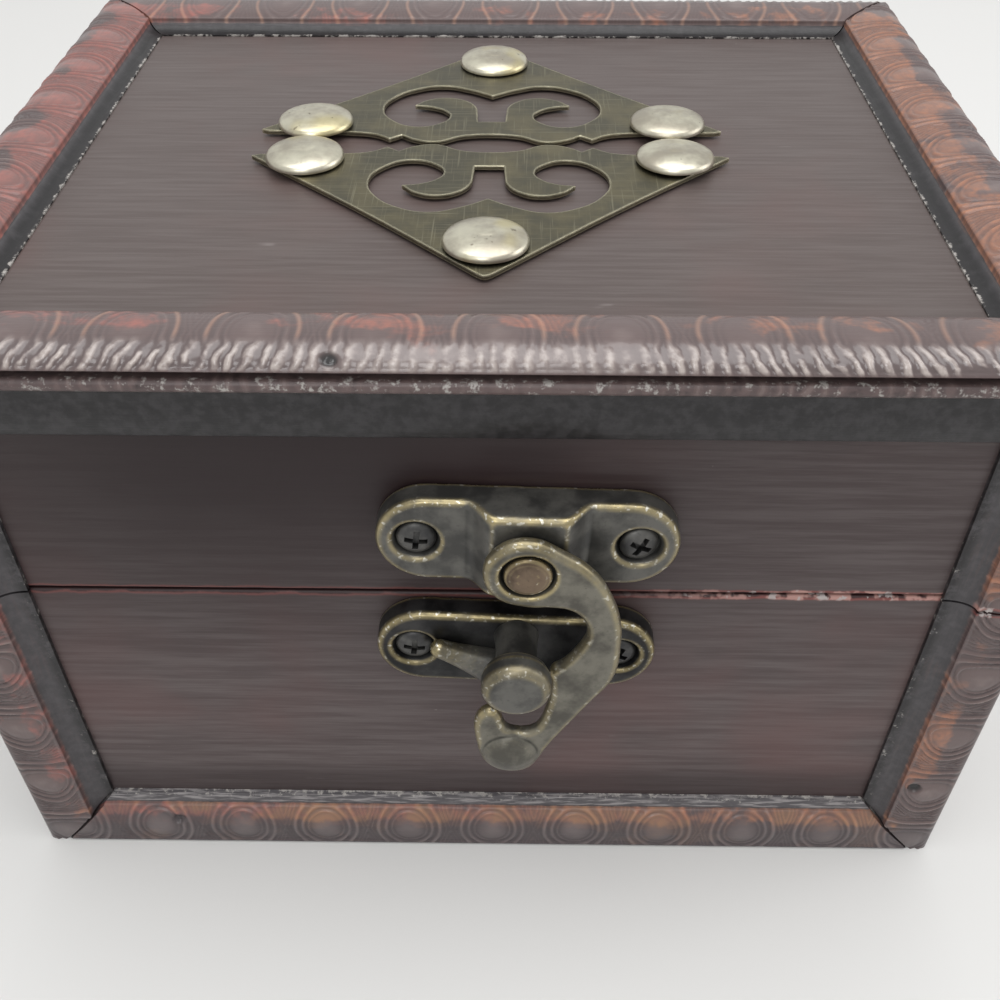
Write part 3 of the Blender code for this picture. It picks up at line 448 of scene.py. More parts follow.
def build_press():
    """Geometry tree that presses the ornament into a strip and notes its height. Each pitch
    has an egg in rings and a fan of darts; Bow bends it round a strip seen from its end."""
    given_numbers = ("Phase", "Direction", "Bow", "Depth", "Rub", "Line Wear", "Glaze")
    tree, given, gives = new_group(
        "GeometryNodeTree", "pressed_ornament",
        (("Geometry", "Geometry", None), ("Pitch", "Float", PITCH), ("Nail Hole", "Vector", None),
         ("Finish", "Material", None), *((label, "Float", None) for label in given_numbers)),
        (("Geometry", "Geometry"),))

    def named(label, kind="FLOAT"):
        return add(tree, "GeometryNodeInputNamedAttribute", {"Name": label},
                   data_type=kind).outputs["Attribute"]

    # Place in the pattern: turns along the strip, and distance from the middle of an egg.
    across = scaled(named("across"), 2.0, -1.0)
    place = add(tree, "GeometryNodeInputPosition").outputs[0]
    wobble = scaled(noise(place, 90, 2, 0.5), 0.05, 0.475)
    run = times(minus(named("along"), given["Phase"]), given["Direction"])
    turn = maths("ADD", maths("DIVIDE", run, given["Pitch"]), wobble)
    turn = scaled(times(across, across), given["Bow"], turn)
    far = maths("ABSOLUTE", minus(maths("FRACT", turn), 0.5))
    down = maths("DIVIDE", far, EGG_LENGTH)
    aside = maths("DIVIDE", across, EGG_WIDTH)
    off = maths("SQRT", scaled(down, down, times(aside, aside)))

    # The egg, its rings and the darts.
    inside = maths("MAXIMUM", minus(1.0, times(off, off)), 0.0)
    height = times(maths("POWER", inside, 0.55), EGG_HIGH)
    for centre, half, high in RINGS:
        height = maths("MAXIMUM", height, times(ridge(off, centre, half), high))
    fan = scaled(maths("ABSOLUTE", across), DART_FAN, far)
    beyond = rise(off, 2.02, 2.20)
    for centre in DARTS:
        height = maths("MAXIMUM", height, times(ridge(fan, centre, DART_HALF), DART_HIGH, beyond))
    height = times(height, scaled(rise(noise(place, 230, 3, 0.6), 0.25, 0.75), 0.35, 0.68))

    # Fine ribs on the shoulder of the lid's moulding, leaning out to both sides.
    on_shoulder = times(rise(across, 0.10, 0.45), given["Line Wear"])
    from_middle = parts_of(place)[0]
    lean = times(across, rise(from_middle, *RIBS_LEAN_OVER), -2 * RIB_LEAN)
    slant = maths("ADD", scaled(across, RIB_LEAN, lean), times(noise(place, 330, 2, 0.5), 1.5))
    ribs = maths("FRACT", scaled(turn, RIBS_IN_PITCH, slant))
    ribs = times(ridge(minus(ribs, 0.5), 0.0, RIB_HALF), rise(noise(place, 310, 3, 0.7), 0.30, 0.60))
    to_ends = rise(maths("ABSOLUTE", from_middle), *RIBS_WORN_FLAT)
    ribs = scaled(ribs, scaled(to_ends, 0.55, 0.45), times(minus(1.0, to_ends), 0.32))
    height = scaled(height, minus(1.0, on_shoulder), times(ribs, on_shoulder))

    # The outermost ring wears to a line, and the rest of a worn crown is flatter.
    line = times(ridge(off, RINGS[-1][0], LINE_HALF), given["Line Wear"], rise(across, 0.35, 0.0))
    flattened = scaled(minus(given["Line Wear"], on_shoulder), -0.65, 1.0)
    nail = add(tree, "ShaderNodeVectorMath", {0: place, 1: given["Nail Hole"]}, operation="DISTANCE")
    hole = rise(nail.outputs["Value"], *NAIL_HOLE)
    pressed = times(minus(height, 1.0), given["Depth"], flattened, named("zone"))
    pressed = scaled(hole, -NAIL_DEPTH, pressed)
    height = times(height, minus(1.0, hole))
    offset = add(tree, "ShaderNodeVectorMath", {0: named("outward", "FLOAT_VECTOR"), "Scale": pressed},
                 operation="SCALE").outputs[0]

    noted = given["Geometry"]
    for label, value in (("relief", height), ("line", line), ("rub", given["Rub"]),
                         ("glaze", given["Glaze"]), ("shine", on_shoulder), ("hole", hole)):
        inputs = {"Geometry": noted, "Name": label, "Value": value}
        noted = add(tree, "GeometryNodeStoreNamedAttribute", inputs, data_type="FLOAT",
                    domain="POINT").outputs[0]
    moved = add(tree, "GeometryNodeSetPosition", {"Geometry": noted, "Offset": offset}).outputs[0]
    put_out(tree, moved, given, gives)
    return tree


PRESS = build_press()


def plain_mesh(made):
    """An object's mesh with its modifiers applied."""
    bpy.context.view_layer.update()
    evaluated = made.evaluated_get(bpy.context.evaluated_depsgraph_get())
    return bpy.data.meshes.new_from_object(evaluated)


def apply_tree(made, tree, values):
    """Run a geometry tree on an object and keep the result as its plain mesh."""
    step = made.modifiers.new("shape", "NODES")
    step.node_group = tree
    for item in tree.interface.items_tree:
        if item.in_out == "INPUT" and item.name in values:
            step[item.identifier] = values[item.name]
    made.update_tag()
    mesh = plain_mesh(made)
    made.modifiers.clear()
    made.data = mesh
    mesh.shade_smooth()
    mesh.set_sharp_from_angle(angle=math.radians(50))


def densify(points, crown):
    """A closed section with small steps where the ornament runs."""
    dense = []
    for start, end in zip(points, points[1:] + points[:1]):
        start, end = Vector(start), Vector(end)
        pressed = max(crown(start)[1], crown(start.lerp(end, 0.5))[1], crown(end)[1]) > 0
        steps = max(1, math.ceil((end - start).length / CELL)) if pressed else 1
        dense += [start.lerp(end, step / steps) for step in range(steps)]
    return dense


def arc(centre, across, along, start, steps=16):
    """Points on a quarter of an ellipse, its start given in quarter turns."""
    angles = [(start + step / steps) * math.pi / 2 for step in range(steps + 1)]
    return [(centre[0] + across * math.cos(a), centre[1] + along * math.sin(a)) for a in angles]


OUTWARD_STEP = 0.0001


def strip(name, section, ends, crown, axis):
    """A moulding as a dense grid. The section holds (inset, rise) points in a ring, ends gives both end
    positions of such a point, and crown gives its place across the ornament, how deep that is pressed, how
    much of the crown's colour it has, how worn and how lit it is, a low value painting shade, and how dark
    and how pale its edge is."""
    ring = densify(section, crown)
    count = len(ring)
    following = ring[1:] + ring[:1]
    first, last = (np.array([ends(point)[end] for point in ring]) for end in (0, 1))
    marks = np.array([crown(point) for point in ring])
    area = sum(here.x * there.y - there.x * here.y for here, there in zip(ring, following))
    outward, girth = [], [0.0]
    for index, point in enumerate(ring):
        step = following[index] - ring[index - 1]
        aside = math.copysign(1, area) * Vector((step.y, -step.x)).normalized() * OUTWARD_STEP
        vector = Vector(ends(point + aside)[0]) - Vector(ends(point)[0])
        vector[axis] = 0
        outward.append(vector.normalized())
        girth.append(girth[-1] + (following[index] - point).length)
    columns = round(float(np.abs(last - first)[:, axis].max()) / CELL)
    share = np.linspace(0, 1, columns + 1)[:, None, None]
    places = (first[None] * (1 - share) + last[None] * share).reshape(-1, 3)
    faces = []
    for start in range(0, columns * count, count):
        for index in range(count):
            other = (index + 1) % count
            faces.append((start + index, start + other, start + count + other, start + count + index))
    faces.append(tuple(reversed(range(count))))
    faces.append(tuple(columns * count + index for index in range(count)))
    mesh = bpy.data.meshes.new(name)
    mesh.from_pydata(places.tolist(), [], faces)
    values = {"along": places[:, axis], "girth": np.tile(girth[:count], columns + 1)}
    for column, label in enumerate(("across", "zone", "tint", "worn", "dark", "pale")):
        values[label] = np.tile(marks[:, column], columns + 1)
    for label, numbers in values.items():
        mesh.attributes.new(label, "FLOAT", "POINT").data.foreach_set("value", numbers)
    vectors = np.tile(np.array(outward), (columns + 1, 1)).ravel()
    mesh.attributes.new("outward", "FLOAT_VECTOR", "POINT").data.foreach_set("vector", vectors)
    bm = bmesh.new()
    bm.from_mesh(mesh)
    bmesh.ops.recalc_face_normals(bm, faces=bm.faces)
    bm.to_mesh(mesh)
    bm.free()
    return in_scene(name, mesh)


def attribute(tree, label):
    """A mesh attribute's value."""
    return add(tree, "ShaderNodeAttribute", attribute_name=label).outputs["Fac"]


GLAZE = (0.010, 0.009, 0.010, 1)
SLATE = (0.078, 0.072, 0.077, 1)
HOLLOW = (0.046, 0.034, 0.036, 1)
MAUVE = (0.112, 0.078, 0.075, 1)
RIDGE_HIGHLIGHT = (0.26, 0.205, 0.190, 1)
SHOULDER_RUB_AND_HIGHLIGHT = (0.48, 0.42, 0.39, 1)
FOOT_GOLD = (0.36, 0.18, 0.090, 1)
FOOT_DULL = (0.135, 0.112, 0.112, 1)
FOOT_HOLLOW = (0.066, 0.053, 0.056, 1)
RUB_RED = (0.38, 0.115, 0.090, 1)
RUB_ORANGE = (0.44, 0.175, 0.085, 1)
LINE_ORANGE = (0.34, 0.19, 0.13, 1)
CHIP_AND_GLINT_PALE = (0.34, 0.32, 0.30, 1)
HATCH_PALE = (0.24, 0.225, 0.225, 1)
FOOT_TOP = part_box("foot_trim_front")[1].z
HALF_WIDTH, HALF_DEPTH = -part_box("foot_trim_left")[0].x, -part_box("foot_trim_front")[0].y
RED_TO_ORANGE = (-0.045, 0.055)
AT_FOOT = (FOOT_TOP + 0.0010, FOOT_TOP + 0.0004)
NEAR_ENDS = (0.040, 0.055)
DULL_LOW_ON_FOOT = (0.0060, 0.0048)
DULL_EDGE_WANDER = 0.006


def glazed_moulding():
    """Black glaze over a red ground: it stays in the hollows and on the flats and is rubbed off the
    ornament, most near the ends, on the foot and along chipped edges. Highlights are painted on the ridges,
    the lid's shoulder and the bead, and shade on the lid's leg."""
    material, tree, shader = new_finish("worn_moulding_glazed")
    place = object_place(tree)
    side, depth, height = parts_of(place)
    labels = ("relief", "zone", "across", "glaze", "rub", "tint", "line", "shine", "worn", "dark",
              "pale", "hole", "along", "girth")
    mark = {label: attribute(tree, label) for label in labels}
    inputs = {"X": times(mark["along"], 0.10), "Y": mark["girth"]}
    streaks = noise(add(tree, "ShaderNodeCombineXYZ", inputs).outputs[0], 2600, 3, 0.6)
    coarse = noise(place, 120, 4, 0.65)
    fine = noise(place, 900, 3, 0.6)
    at_foot = rise(height, *AT_FOOT)
    outer = rise(mark["across"], 0.30, 0.60)

    # The ground: red at the left, orange at the right, gold along the foot.
    rubbed = mix(rise(side, *RED_TO_ORANGE), RUB_RED, RUB_ORANGE)
    rubbed = mix(rise(fine, 0.30, 0.75), mix(0.5, rubbed, MAUVE), rubbed)
    rubbed = mix(times(at_foot, rise(coarse, 0.44, 0.62)), rubbed, FOOT_GOLD)

    # The ornament: dark hollows, painted highlights on the ridges, patches rubbed to the ground.
    hollow = times(rise(mark["relief"], 0.50, 0.05), times(mark["glaze"], scaled(outer, 0.45, 0.55)))
    tone = mix(hollow, MAUVE, HOLLOW)
    # Painted highlight on the ridges.
    ridge_highlight = times(rise(mark["relief"], 0.60, 0.95), times(mark["glaze"], 0.75))
    tone = mix(ridge_highlight, tone, RIDGE_HIGHLIGHT)
    spread = scaled(minus(1.0, outer), 0.16, minus(coarse, 0.10))
    spread = scaled(mark["rub"], 0.22, spread)
    spread = scaled(rise(maths("ABSOLUTE", side), *NEAR_ENDS), 0.05, spread)
    rub = times(rise(spread, 0.58, 0.70), scaled(mark["relief"], 0.48, 0.32), mark["tint"])
    tone = mix(rub, tone, rubbed)
    tone = mix(times(mark["line"], 0.50), tone, LINE_ORANGE)
    # The lid's shoulder: pale rubbed lacquer with a painted highlight on its ribs.
    shine = times(mark["shine"], rise(mark["relief"], 0.10, 0.80))
    shine = times(shine, scaled(rise(fine, 0.30, 0.62), 0.5, 0.3))
    shine = times(shine, rise(mark["across"], 0.45, 0.85), mark["zone"])
    tone = mix(shine, tone, SHOULDER_RUB_AND_HIGHLIGHT)

    # The plain parts: slate, and hatched by rubbing where they are worn; a low value leaves them near black,
    # which paints shade on the lid's leg.
    slate = mix(scaled(rise(fine, 0.35, 0.7), 0.25, mark["worn"]), GLAZE, SLATE)
    hatch = times(rise(streaks, 0.46, 0.62), rise(mark["worn"], 0.5, 0.95))
    reddish = times(rise(coarse, 0.45, 0.62), minus(1.0, at_foot))
    slate = mix(hatch, slate, mix(reddish, HATCH_PALE, rubbed))
    ragged = scaled(minus(fine, 0.5), 0.9, mark["tint"])
    tone = mix(rise(ragged, 0.32, 0.78), slate, tone)

    # Edges left dark, edges chipped pale with painted glints on the bead, nail holes, the seam, and the foot
    # duller and darker low down.
    dark = times(mark["dark"], rise(noise(place, 420, 4, 0.75), 0.30, 0.55))
    tone = mix(maths("MINIMUM", dark, 0.92), tone, GLAZE)
    pale = rise(scaled(mark["pale"], 0.42, noise(place, 700, 3, 0.8)), 0.66, 0.80)
    tone = mix(times(pale, rise(mark["pale"], 0.02, 0.25)), tone, CHIP_AND_GLINT_PALE)
    tone = mix(mark["hole"], tone, GLAZE)
    tone = seam_wear(place, tone, (HALF_WIDTH, HALF_DEPTH))
    # The foot moulding duller and darker low down.
    low_edge = scaled(minus(coarse, 0.5), DULL_EDGE_WANDER, height)
    low_foot_tone = mix(rise(mark["relief"], 0.15, 0.9), FOOT_HOLLOW, FOOT_DULL)
    tone = mix(times(rise(low_edge, *DULL_LOW_ON_FOOT), 0.80), tone, low_foot_tone)
    fill(shader.inputs, Base_Color=tone, Roughness=scaled(streaks, 0.26, 0.22),
         Specular_IOR_Level=0.40, Coat_Roughness=0.16,
         Coat_Weight=times(scaled(mark["shine"], 0.7, 0.25), mark["zone"]))
    bump(shader, scaled(streaks, 0.6, times(fine, 0.4)), 0.35, 0.00010)
    return material


moulding_finish = glazed_moulding()


def press(made, phase, bow, depth, wear, nail, body, *stands_for, direction=1.0):
    """Press the ornament into a strip and fix it in place of its CAD node. The three
    numbers of wear are how much is rubbed, how worn the rings are, how deep the glaze is."""
    rub, line_wear, glaze = wear
    apply_tree(made, PRESS, {"Phase": phase, "Direction": direction, "Bow": bow, "Depth": depth,
                             "Rub": rub, "Line Wear": line_wear, "Glaze": glaze, "Nail Hole": nail,
                             "Finish": moulding_finish})
    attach(made, body)
    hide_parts(*stands_for)


GLUE = 0.00002
BOW = 0.14
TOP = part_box("lid_frame_front")[1].z
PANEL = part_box("lid_top_panel")[1].z + GLUE
TRIM_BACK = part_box("foot_trim_front")[1].y + HALF_DEPTH
GLUED_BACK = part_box("base_front_wall")[0].y + HALF_DEPTH - GLUE
SIDES = (("front", Vector((1, 0, 0)), Vector((0, -1, 0)), HALF_WIDTH, HALF_DEPTH, 0),
         ("back", Vector((1, 0, 0)), Vector((0, 1, 0)), HALF_WIDTH, HALF_DEPTH, 0),
         ("left", Vector((0, 1, 0)), Vector((-1, 0, 0)), HALF_DEPTH, HALF_WIDTH, 1),
         ("right", Vector((0, 1, 0)), Vector((1, 0, 0)), HALF_DEPTH, HALF_WIDTH, 1))

# Section of the lid's moulding: distance in from the box's face, height above the table.
FRAME_WIDTH = 0.0113
FRAME_CROWN = 0.0095
FRAME_CREST = 0.0037
SHOULDER = 0.0008
SHOULDER_DROP = 0.0019
SHOULDER_PLAIN = 0.0004
FRAME_LIP = 0.0010
GROOVE, GROOVE_EASE = 0.0025, 0.0002
BEAD = (0.0016, TOP - 0.0038)
BEAD_RADIUS, BEAD_SEAT = 0.00075, 0.0001
LEG_INSET = 0.0016
LEG_EASE = 0.0002
LEG_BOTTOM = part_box("lid_frame_front")[0].z
COVE_FOOT = FRAME_WIDTH + 0.0003
COVE_EDGE = (FRAME_WIDTH - 0.0002, FRAME_WIDTH + 0.0002)
FEATHER = 0.0002
# Margin that keeps a point of the section on its own side of a limit.
SAFE = 0.0001
frame_section = [(COVE_FOOT, PANEL)]
frame_section += arc((COVE_FOOT, TOP - FRAME_LIP), FRAME_CROWN - COVE_FOOT,
                     TOP - FRAME_LIP - PANEL - FEATHER, 3)
frame_section += arc((FRAME_CREST, TOP - FRAME_LIP), FRAME_CROWN - FRAME_CREST, FRAME_LIP, 0)[1:]
frame_section += arc((FRAME_CREST, TOP - SHOULDER_DROP), FRAME_CREST - SHOULDER, SHOULDER_DROP, 1, 24)[1:]
frame_section += [(GROOVE, TOP - SHOULDER_DROP - GROOVE_EASE),
                  (GROOVE, BEAD[1] + BEAD_RADIUS - BEAD_SEAT)]
frame_section += arc(BEAD, BEAD_RADIUS, BEAD_RADIUS, 1, 8) + arc(BEAD, BEAD_RADIUS, BEAD_RADIUS, 2, 8)[1:]
frame_section += [(LEG_INSET + LEG_EASE, (BEAD[1] + LEG_BOTTOM) / 2), (LEG_INSET, LEG_BOTTOM + LEG_EASE),
                  (LEG_INSET + LEG_EASE, LEG_BOTTOM), (GLUED_BACK, LEG_BOTTOM), (GLUED_BACK, PANEL)]


def fade(value, low, high):
    """0 below low, 1 above high."""
    return min(max((value - low) / (high - low), 0), 1)


def frame_crown(point):
    """Ornament over the crown and shoulder, by arc from the inner edge to the outer."""
    if point.x > FRAME_CROWN + SAFE:
        drop = fade(TOP - FRAME_LIP - point.y, 0, TOP - FRAME_LIP - PANEL)
        tint, worn, dark = 1 - fade(drop, 0.0, 0.45), 0.6 * fade(0.75 - drop, 0, 0.3), fade(drop, 0.45, 0.8)
        pale = 0.55 * fade(point.x, *COVE_EDGE)
        return 0.0, 0.0, tint, worn, dark, pale
    # The leg below the bead is left near black: painted shade.
    if point.y < BEAD[1] - BEAD_RADIUS * 0.95:
        return 1.0, 0.0, 0.0, 0.0, 0.0, 0.0
    # The groove and bead take the crown's colour, with pale specks on the bead as painted glints.
    if point.y < TOP - SHOULDER_DROP - SAFE:
        return 1.0, 0.0, 0.75, 0.0, 0.0, 0.30 if point.x < BEAD[0] + SAFE else 0.0
    flat = max(point.x - FRAME_CREST, 0)
    angle = math.acos(fade(FRAME_CREST - point.x, 0, FRAME_CREST - SHOULDER))
    bend = (FRAME_CREST - SHOULDER + SHOULDER_DROP) / 2
    crown = FRAME_CROWN - FRAME_CREST
    across = (crown - flat + (math.pi / 2 - angle) * bend) / (crown + bend * math.pi / 2)
    plain = fade(point.y, TOP - SHOULDER_DROP, TOP - SHOULDER_DROP + SHOULDER_PLAIN)
    return across, min(fade(across, 0.0, 0.05), plain), 1.0, 0.0, 0.0, 0.0


# Middle of an egg on each strip, how the strips are rubbed, and a dent in the front one.
LID_DENT = (-0.0139, 0.0012 - HALF_DEPTH, TOP - 0.0006)
LID_DEPTH = 0.00024
LID_WEAR_FRONT, LID_WEAR_SIDE = (0.05, 1.0, 0.35), (0.72, 0.0, 0.60)
lid_phase = {"front": 0.00165, "back": 0.0021, "left": -0.0022, "right": -0.0038}
for side, run, out, half, reach, axis in SIDES:
    def frame_ends(point, run=run, out=out, half=half, reach=reach):
        """Both mitred ends of one line of the strip."""
        middle = out * (reach - point.x) + Vector((0, 0, point.y))
        return [tuple(middle + run * sign * (half - GAP / 2 - point.x)) for sign in (-1, 1)]

    made = strip(f"moulding_lid_{side}", frame_section, frame_ends, frame_crown, axis)
    bow, wear = (0.0, LID_WEAR_FRONT) if side in ("front", "back") else (BOW, LID_WEAR_SIDE)
    press(made, lid_phase[side], bow, LID_DEPTH, wear, LID_DENT, "lid", f"lid_frame_{side}")

# Section of the foot's moulding, an ovolo under a small cove.
OVOLO = 0.0017
OVOLO_LOW, OVOLO_HIGH = 0.0022, 0.0070
COVE = (OVOLO + 0.00017, OVOLO_HIGH + 0.00047)
COVE_HATCHED = OVOLO_HIGH + 0.0002
COVE_PALE = (FOOT_TOP - 0.0003, FOOT_TOP)
TRIM_FALL = 0.0001
EASE = 0.0004
CORNER_TOE = 0.0029
CORNER_WIDTH = 0.0107
foot_slope = FOOT_TOP / (CORNER_WIDTH - CORNER_TOE)
foot_section = [(GLUED_BACK, 0), (EASE, 0), (0, EASE)]
foot_section += arc((OVOLO, OVOLO_LOW), OVOLO, OVOLO_HIGH - OVOLO_LOW, 1)[::-1]
foot_section += [COVE, (TRIM_BACK - GAP, FOOT_TOP - TRIM_FALL), (GLUED_BACK, FOOT_TOP)]


def foot_crown(point):
    """Ornament over the ovolo, from its top down, under a cove rubbed pale."""
    across = 1 - fade(point.y, EASE, OVOLO_HIGH)
    if point.x > OVOLO + SAFE / 10 or point.y < EASE:
        hatched = 0.9 if point.y > COVE_HATCHED else 0.1
        return across, 0.0, 0.0, hatched, 0.0, fade(point.y, *COVE_PALE) * 0.5
    return across, min(fade(across, 0.0, 0.06), fade(1 - across, 0.0, 0.06)), 1.0, 0.0, 0.0, 0.0


FOOT_NAIL = (-0.0424, -HALF_DEPTH, 0.0049)
FOOT_DEPTH = 0.00026
FOOT_WEAR = (0.62, 0.0, 0.65)
foot_phase = {"front": 0.00076, "back": 0.0, "left": 0.0012, "right": 0.0040}
for side, run, out, half, reach, axis in SIDES:
    def foot_ends(point, run=run, out=out, half=half, reach=reach):
        """Both slanted ends of one line of the strip."""
        end = half - CORNER_TOE - GAP / 2 - (GAP / 2 + point.y) / foot_slope
        middle = out * (reach - point.x) + Vector((0, 0, point.y))
        return [tuple(middle + run * sign * end) for sign in (-1, 1)]

    made = strip(f"moulding_foot_{side}", foot_section, foot_ends, foot_crown, axis)
    press(made, foot_phase[side], 0.0, FOOT_DEPTH, FOOT_WEAR, FOOT_NAIL, "base", f"foot_trim_{side}")

# Plan of a corner moulding: distances in from the two faces that meet there.
CORNER_CROWN = 0.0074
CORNER_LIP = 0.0005
CORNER_CREST = 0.0043
CORNER_ROUND = 0.0018
ARRIS_PLAIN = (0.0007, 0.0018)
CORNER_EDGE = (CORNER_WIDTH - 0.0015, CORNER_WIDTH - 0.0004)
CORNER_BLEND = 0.0005
corner_face = [(CORNER_WIDTH, GLUED_BACK)]
corner_face += arc((CORNER_WIDTH, CORNER_LIP), CORNER_CROWN - CORNER_WIDTH, CORNER_LIP + GAP - TRIM_BACK, 3)
corner_face += arc((CORNER_CREST, CORNER_LIP), CORNER_CROWN - CORNER_CREST, -CORNER_LIP, 0)[1:]
corner_section = corner_face + arc((CORNER_ROUND, CORNER_ROUND), CORNER_ROUND, -CORNER_ROUND, 1)
corner_section += [(depth, along) for along, depth in reversed(corner_face)]
corner_section += [(GLUED_BACK, GLUED_BACK)]


def corner_crown(point):
    """Ornament on both faces of the corner, from the crown's inner edge to the arris."""
    wide = max(point.x, point.y)
    if wide > CORNER_CROWN + SAFE / 2 or min(point.x, point.y) > TRIM_BACK - GAP:
        edge = fade(wide, *CORNER_EDGE)
        tint = fade(CORNER_CROWN + CORNER_BLEND - wide, 0, CORNER_BLEND)
        return 0.0, 0.0, tint, 0.55, edge, 0.20 * edge
    across = 1 - wide / CORNER_CROWN
    return max(across, 0), fade(across, 0.0, 0.06) * fade(wide, *ARRIS_PLAIN), 1.0, 0.0, 0.0, 0.0


CORNER_NAIL = (0.0561, -HALF_DEPTH, 0.0143)
CORNER_DEPTH = 0.00034
CORNER_WEAR = (0.10, 0.0, 0.75)
# Which way each corner's two faces run from its arris, and the middle of an egg on it.
CORNERS = (("front_left", 1, 1, 0.0135), ("front_right", -1, 1, 0.0135),
           ("back_right", -1, -1, 0.0150), ("back_left", 1, -1, 0.0175))
for name, sign_x, sign_y, phase in CORNERS:
    for body in ("base", "lid"):
        low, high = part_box(f"{body}_corner_{name}")

        def corner_ends(point, sign_x=sign_x, sign_y=sign_y, body=body, low=low, high=high):
            """Bottom and top of one upright line of the corner."""
            slant = foot_slope * (max(point.x, point.y) - CORNER_TOE) + GAP / 2
            bottom = max(slant, 0) if body == "base" else low.z
            place = (-sign_x * (HALF_WIDTH - point.x), -sign_y * (HALF_DEPTH - point.y))
            return [(*place, bottom), (*place, high.z)]

        made = strip(f"moulding_{body}_{name}", corner_section, corner_ends, corner_crown, 2)
        press(made, phase, BOW, CORNER_DEPTH, CORNER_WEAR, CORNER_NAIL, body, f"{body}_corner_{name}",
              direction=-1.0)


# Scroll plates.
# Two thin brass plates pressed to shape, blackened, brushed and rubbed bright along their
# edges. They face each other across the middle of the lid, each under three tacks.

# Rubbed edges: 1 close to a sharp edge, broken up by noise.
RUBBED, takes, gives = new_group(
    "ShaderNodeTree", "rubbed_edges",
    (("Vector", "Vector", None), ("Radius", "Float", 0.0003), ("Break Up", "Float", 700.0)),
    (("Mask", "Float"),))
soft = add(RUBBED, "ShaderNodeBevel", {"Radius": takes["Radius"]}, samples=6).outputs[0]
hard = add(RUBBED, "ShaderNodeNewGeometry").outputs["True Normal"]
match = add(RUBBED, "ShaderNodeVectorMath", {0: soft, 1: hard}, operation="DOT_PRODUCT")
broken = scaled(noise(takes["Vector"], takes["Break Up"], 3, 0.6), 1.2, 0.35)
edge = times(rise(match.outputs["Value"], 0.995, 0.90), broken)
fill(gives, Mask=maths("MINIMUM", edge, 1.0))

# Antique metal: brushed lines both ways and cloudy blackening.
BRUSHED, takes, gives = new_group(
    "ShaderNodeTree", "brushed_metal",
    (("Vector", "Vector", None), ("Line Scale", "Float", 5200.0), ("Cloud Scale", "Float", 160.0)),
    (("Lines", "Float"), ("Clouds", "Float")))
lines = [noise(stretched(takes["Vector"], way), takes["Line Scale"], 2, 0.5)
         for way in ((0.02, 1, 1), (1, 0.02, 1))]
clouds = noise(takes["Vector"], takes["Cloud Scale"], 4, 0.6)
fill(gives, Lines=maths("MAXIMUM", *lines), Clouds=clouds)

BRONZE_DARK, BRONZE_LIGHT = (0.105, 0.098, 0.070, 1), (0.175, 0.155, 0.095, 1)
BRONZE_LINES = (0.33, 0.31, 0.22, 1)
BRONZE_EDGE = (0.66, 0.62, 0.46, 1)
plate_finish, tree, shader = new_finish("pressed_bronze_brushed")
place = object_place(tree)
brushed = use(BRUSHED, Vector=place)
tone = mix(rise(brushed["Clouds"], 0.35, 0.7), BRONZE_DARK, BRONZE_LIGHT)
tone = mix(times(rise(brushed["Lines"], 0.55, 0.75), 0.5), tone, BRONZE_LINES)
tone = mix(use(RUBBED, Vector=place, Radius=0.00045)["Mask"], tone, BRONZE_EDGE)
fill(shader.inputs, Base_Color=tone, Metallic=1, Roughness=scaled(brushed["Lines"], 0.25, 0.28))
bump(shader, brushed["Lines"], 0.25, 0.00004)

PLATE = 0.0006
PLATE_EASE = 0.00012
PLATE_HALF_WIDTH = 0.0291
PLATE_REACH = 0.0320
# Right half of the plate's edge and of the scroll cut in it, in shares of its size.
PLATE_EDGE_SHARES = (
    (0.000, 0.070, "AUTO"), (0.120, 0.055, "AUTO"), (0.235, 0.000, "AUTO"),
    (0.330, 0.022, "AUTO"), (0.385, 0.062, "VECTOR"), (0.435, 0.024, "VECTOR"),
    (0.500, 0.066, "AUTO"), (0.600, 0.085, "AUTO"), (0.965, 0.095, "VECTOR"),
    (1.000, 0.108, "VECTOR"), (0.506, 0.538, "AUTO"), (0.030, 0.985, "VECTOR"),
    (0.000, 1.000, "AUTO"),
)
SCROLL_SHARES = (
    (0.000, 0.190, "VECTOR"), (0.060, 0.190, "VECTOR"), (0.064, 0.270, "AUTO"),
    (0.075, 0.345, "AUTO"), (0.125, 0.405, "AUTO"), (0.200, 0.432, "AUTO"),
    (0.290, 0.410, "AUTO"), (0.350, 0.352, "VECTOR"), (0.275, 0.338, "AUTO"),
    (0.212, 0.300, "AUTO"), (0.186, 0.245, "AUTO"), (0.222, 0.178, "AUTO"),
    (0.330, 0.140, "AUTO"), (0.440, 0.205, "AUTO"), (0.485, 0.320, "AUTO"),
    (0.445, 0.440, "AUTO"), (0.350, 0.525, "AUTO"), (0.230, 0.560, "AUTO"),
    (0.105, 0.520, "AUTO"), (0.000, 0.455, "VECTOR"),
)


def outlined(outlines, resolution, **settings):
    """A sheet from smooth closed outlines, the second a hole in the first."""
    curve = bpy.data.curves.new("outline", "CURVE")
    curve.dimensions = "2D"
    curve.fill_mode = "BOTH"
    curve.resolution_u = resolution
    for setting, value in settings.items():
        setattr(curve, setting, value)
    for points in outlines:
        spline = curve.splines.new("BEZIER")
        spline.bezier_points.add(len(points) - 1)
        for knot, (x, y, kind) in zip(spline.bezier_points, points):
            knot.co = (x, y, 0)
            knot.handle_left_type = knot.handle_right_type = kind
        spline.use_cyclic_u = True
    holder = in_scene("outline", curve)
    bm = bmesh.new()
    bm.from_mesh(plain_mesh(holder))
    bpy.data.objects.remove(holder)
    bmesh.ops.remove_doubles(bm, verts=bm.verts, dist=WELD / 2)
    return bm


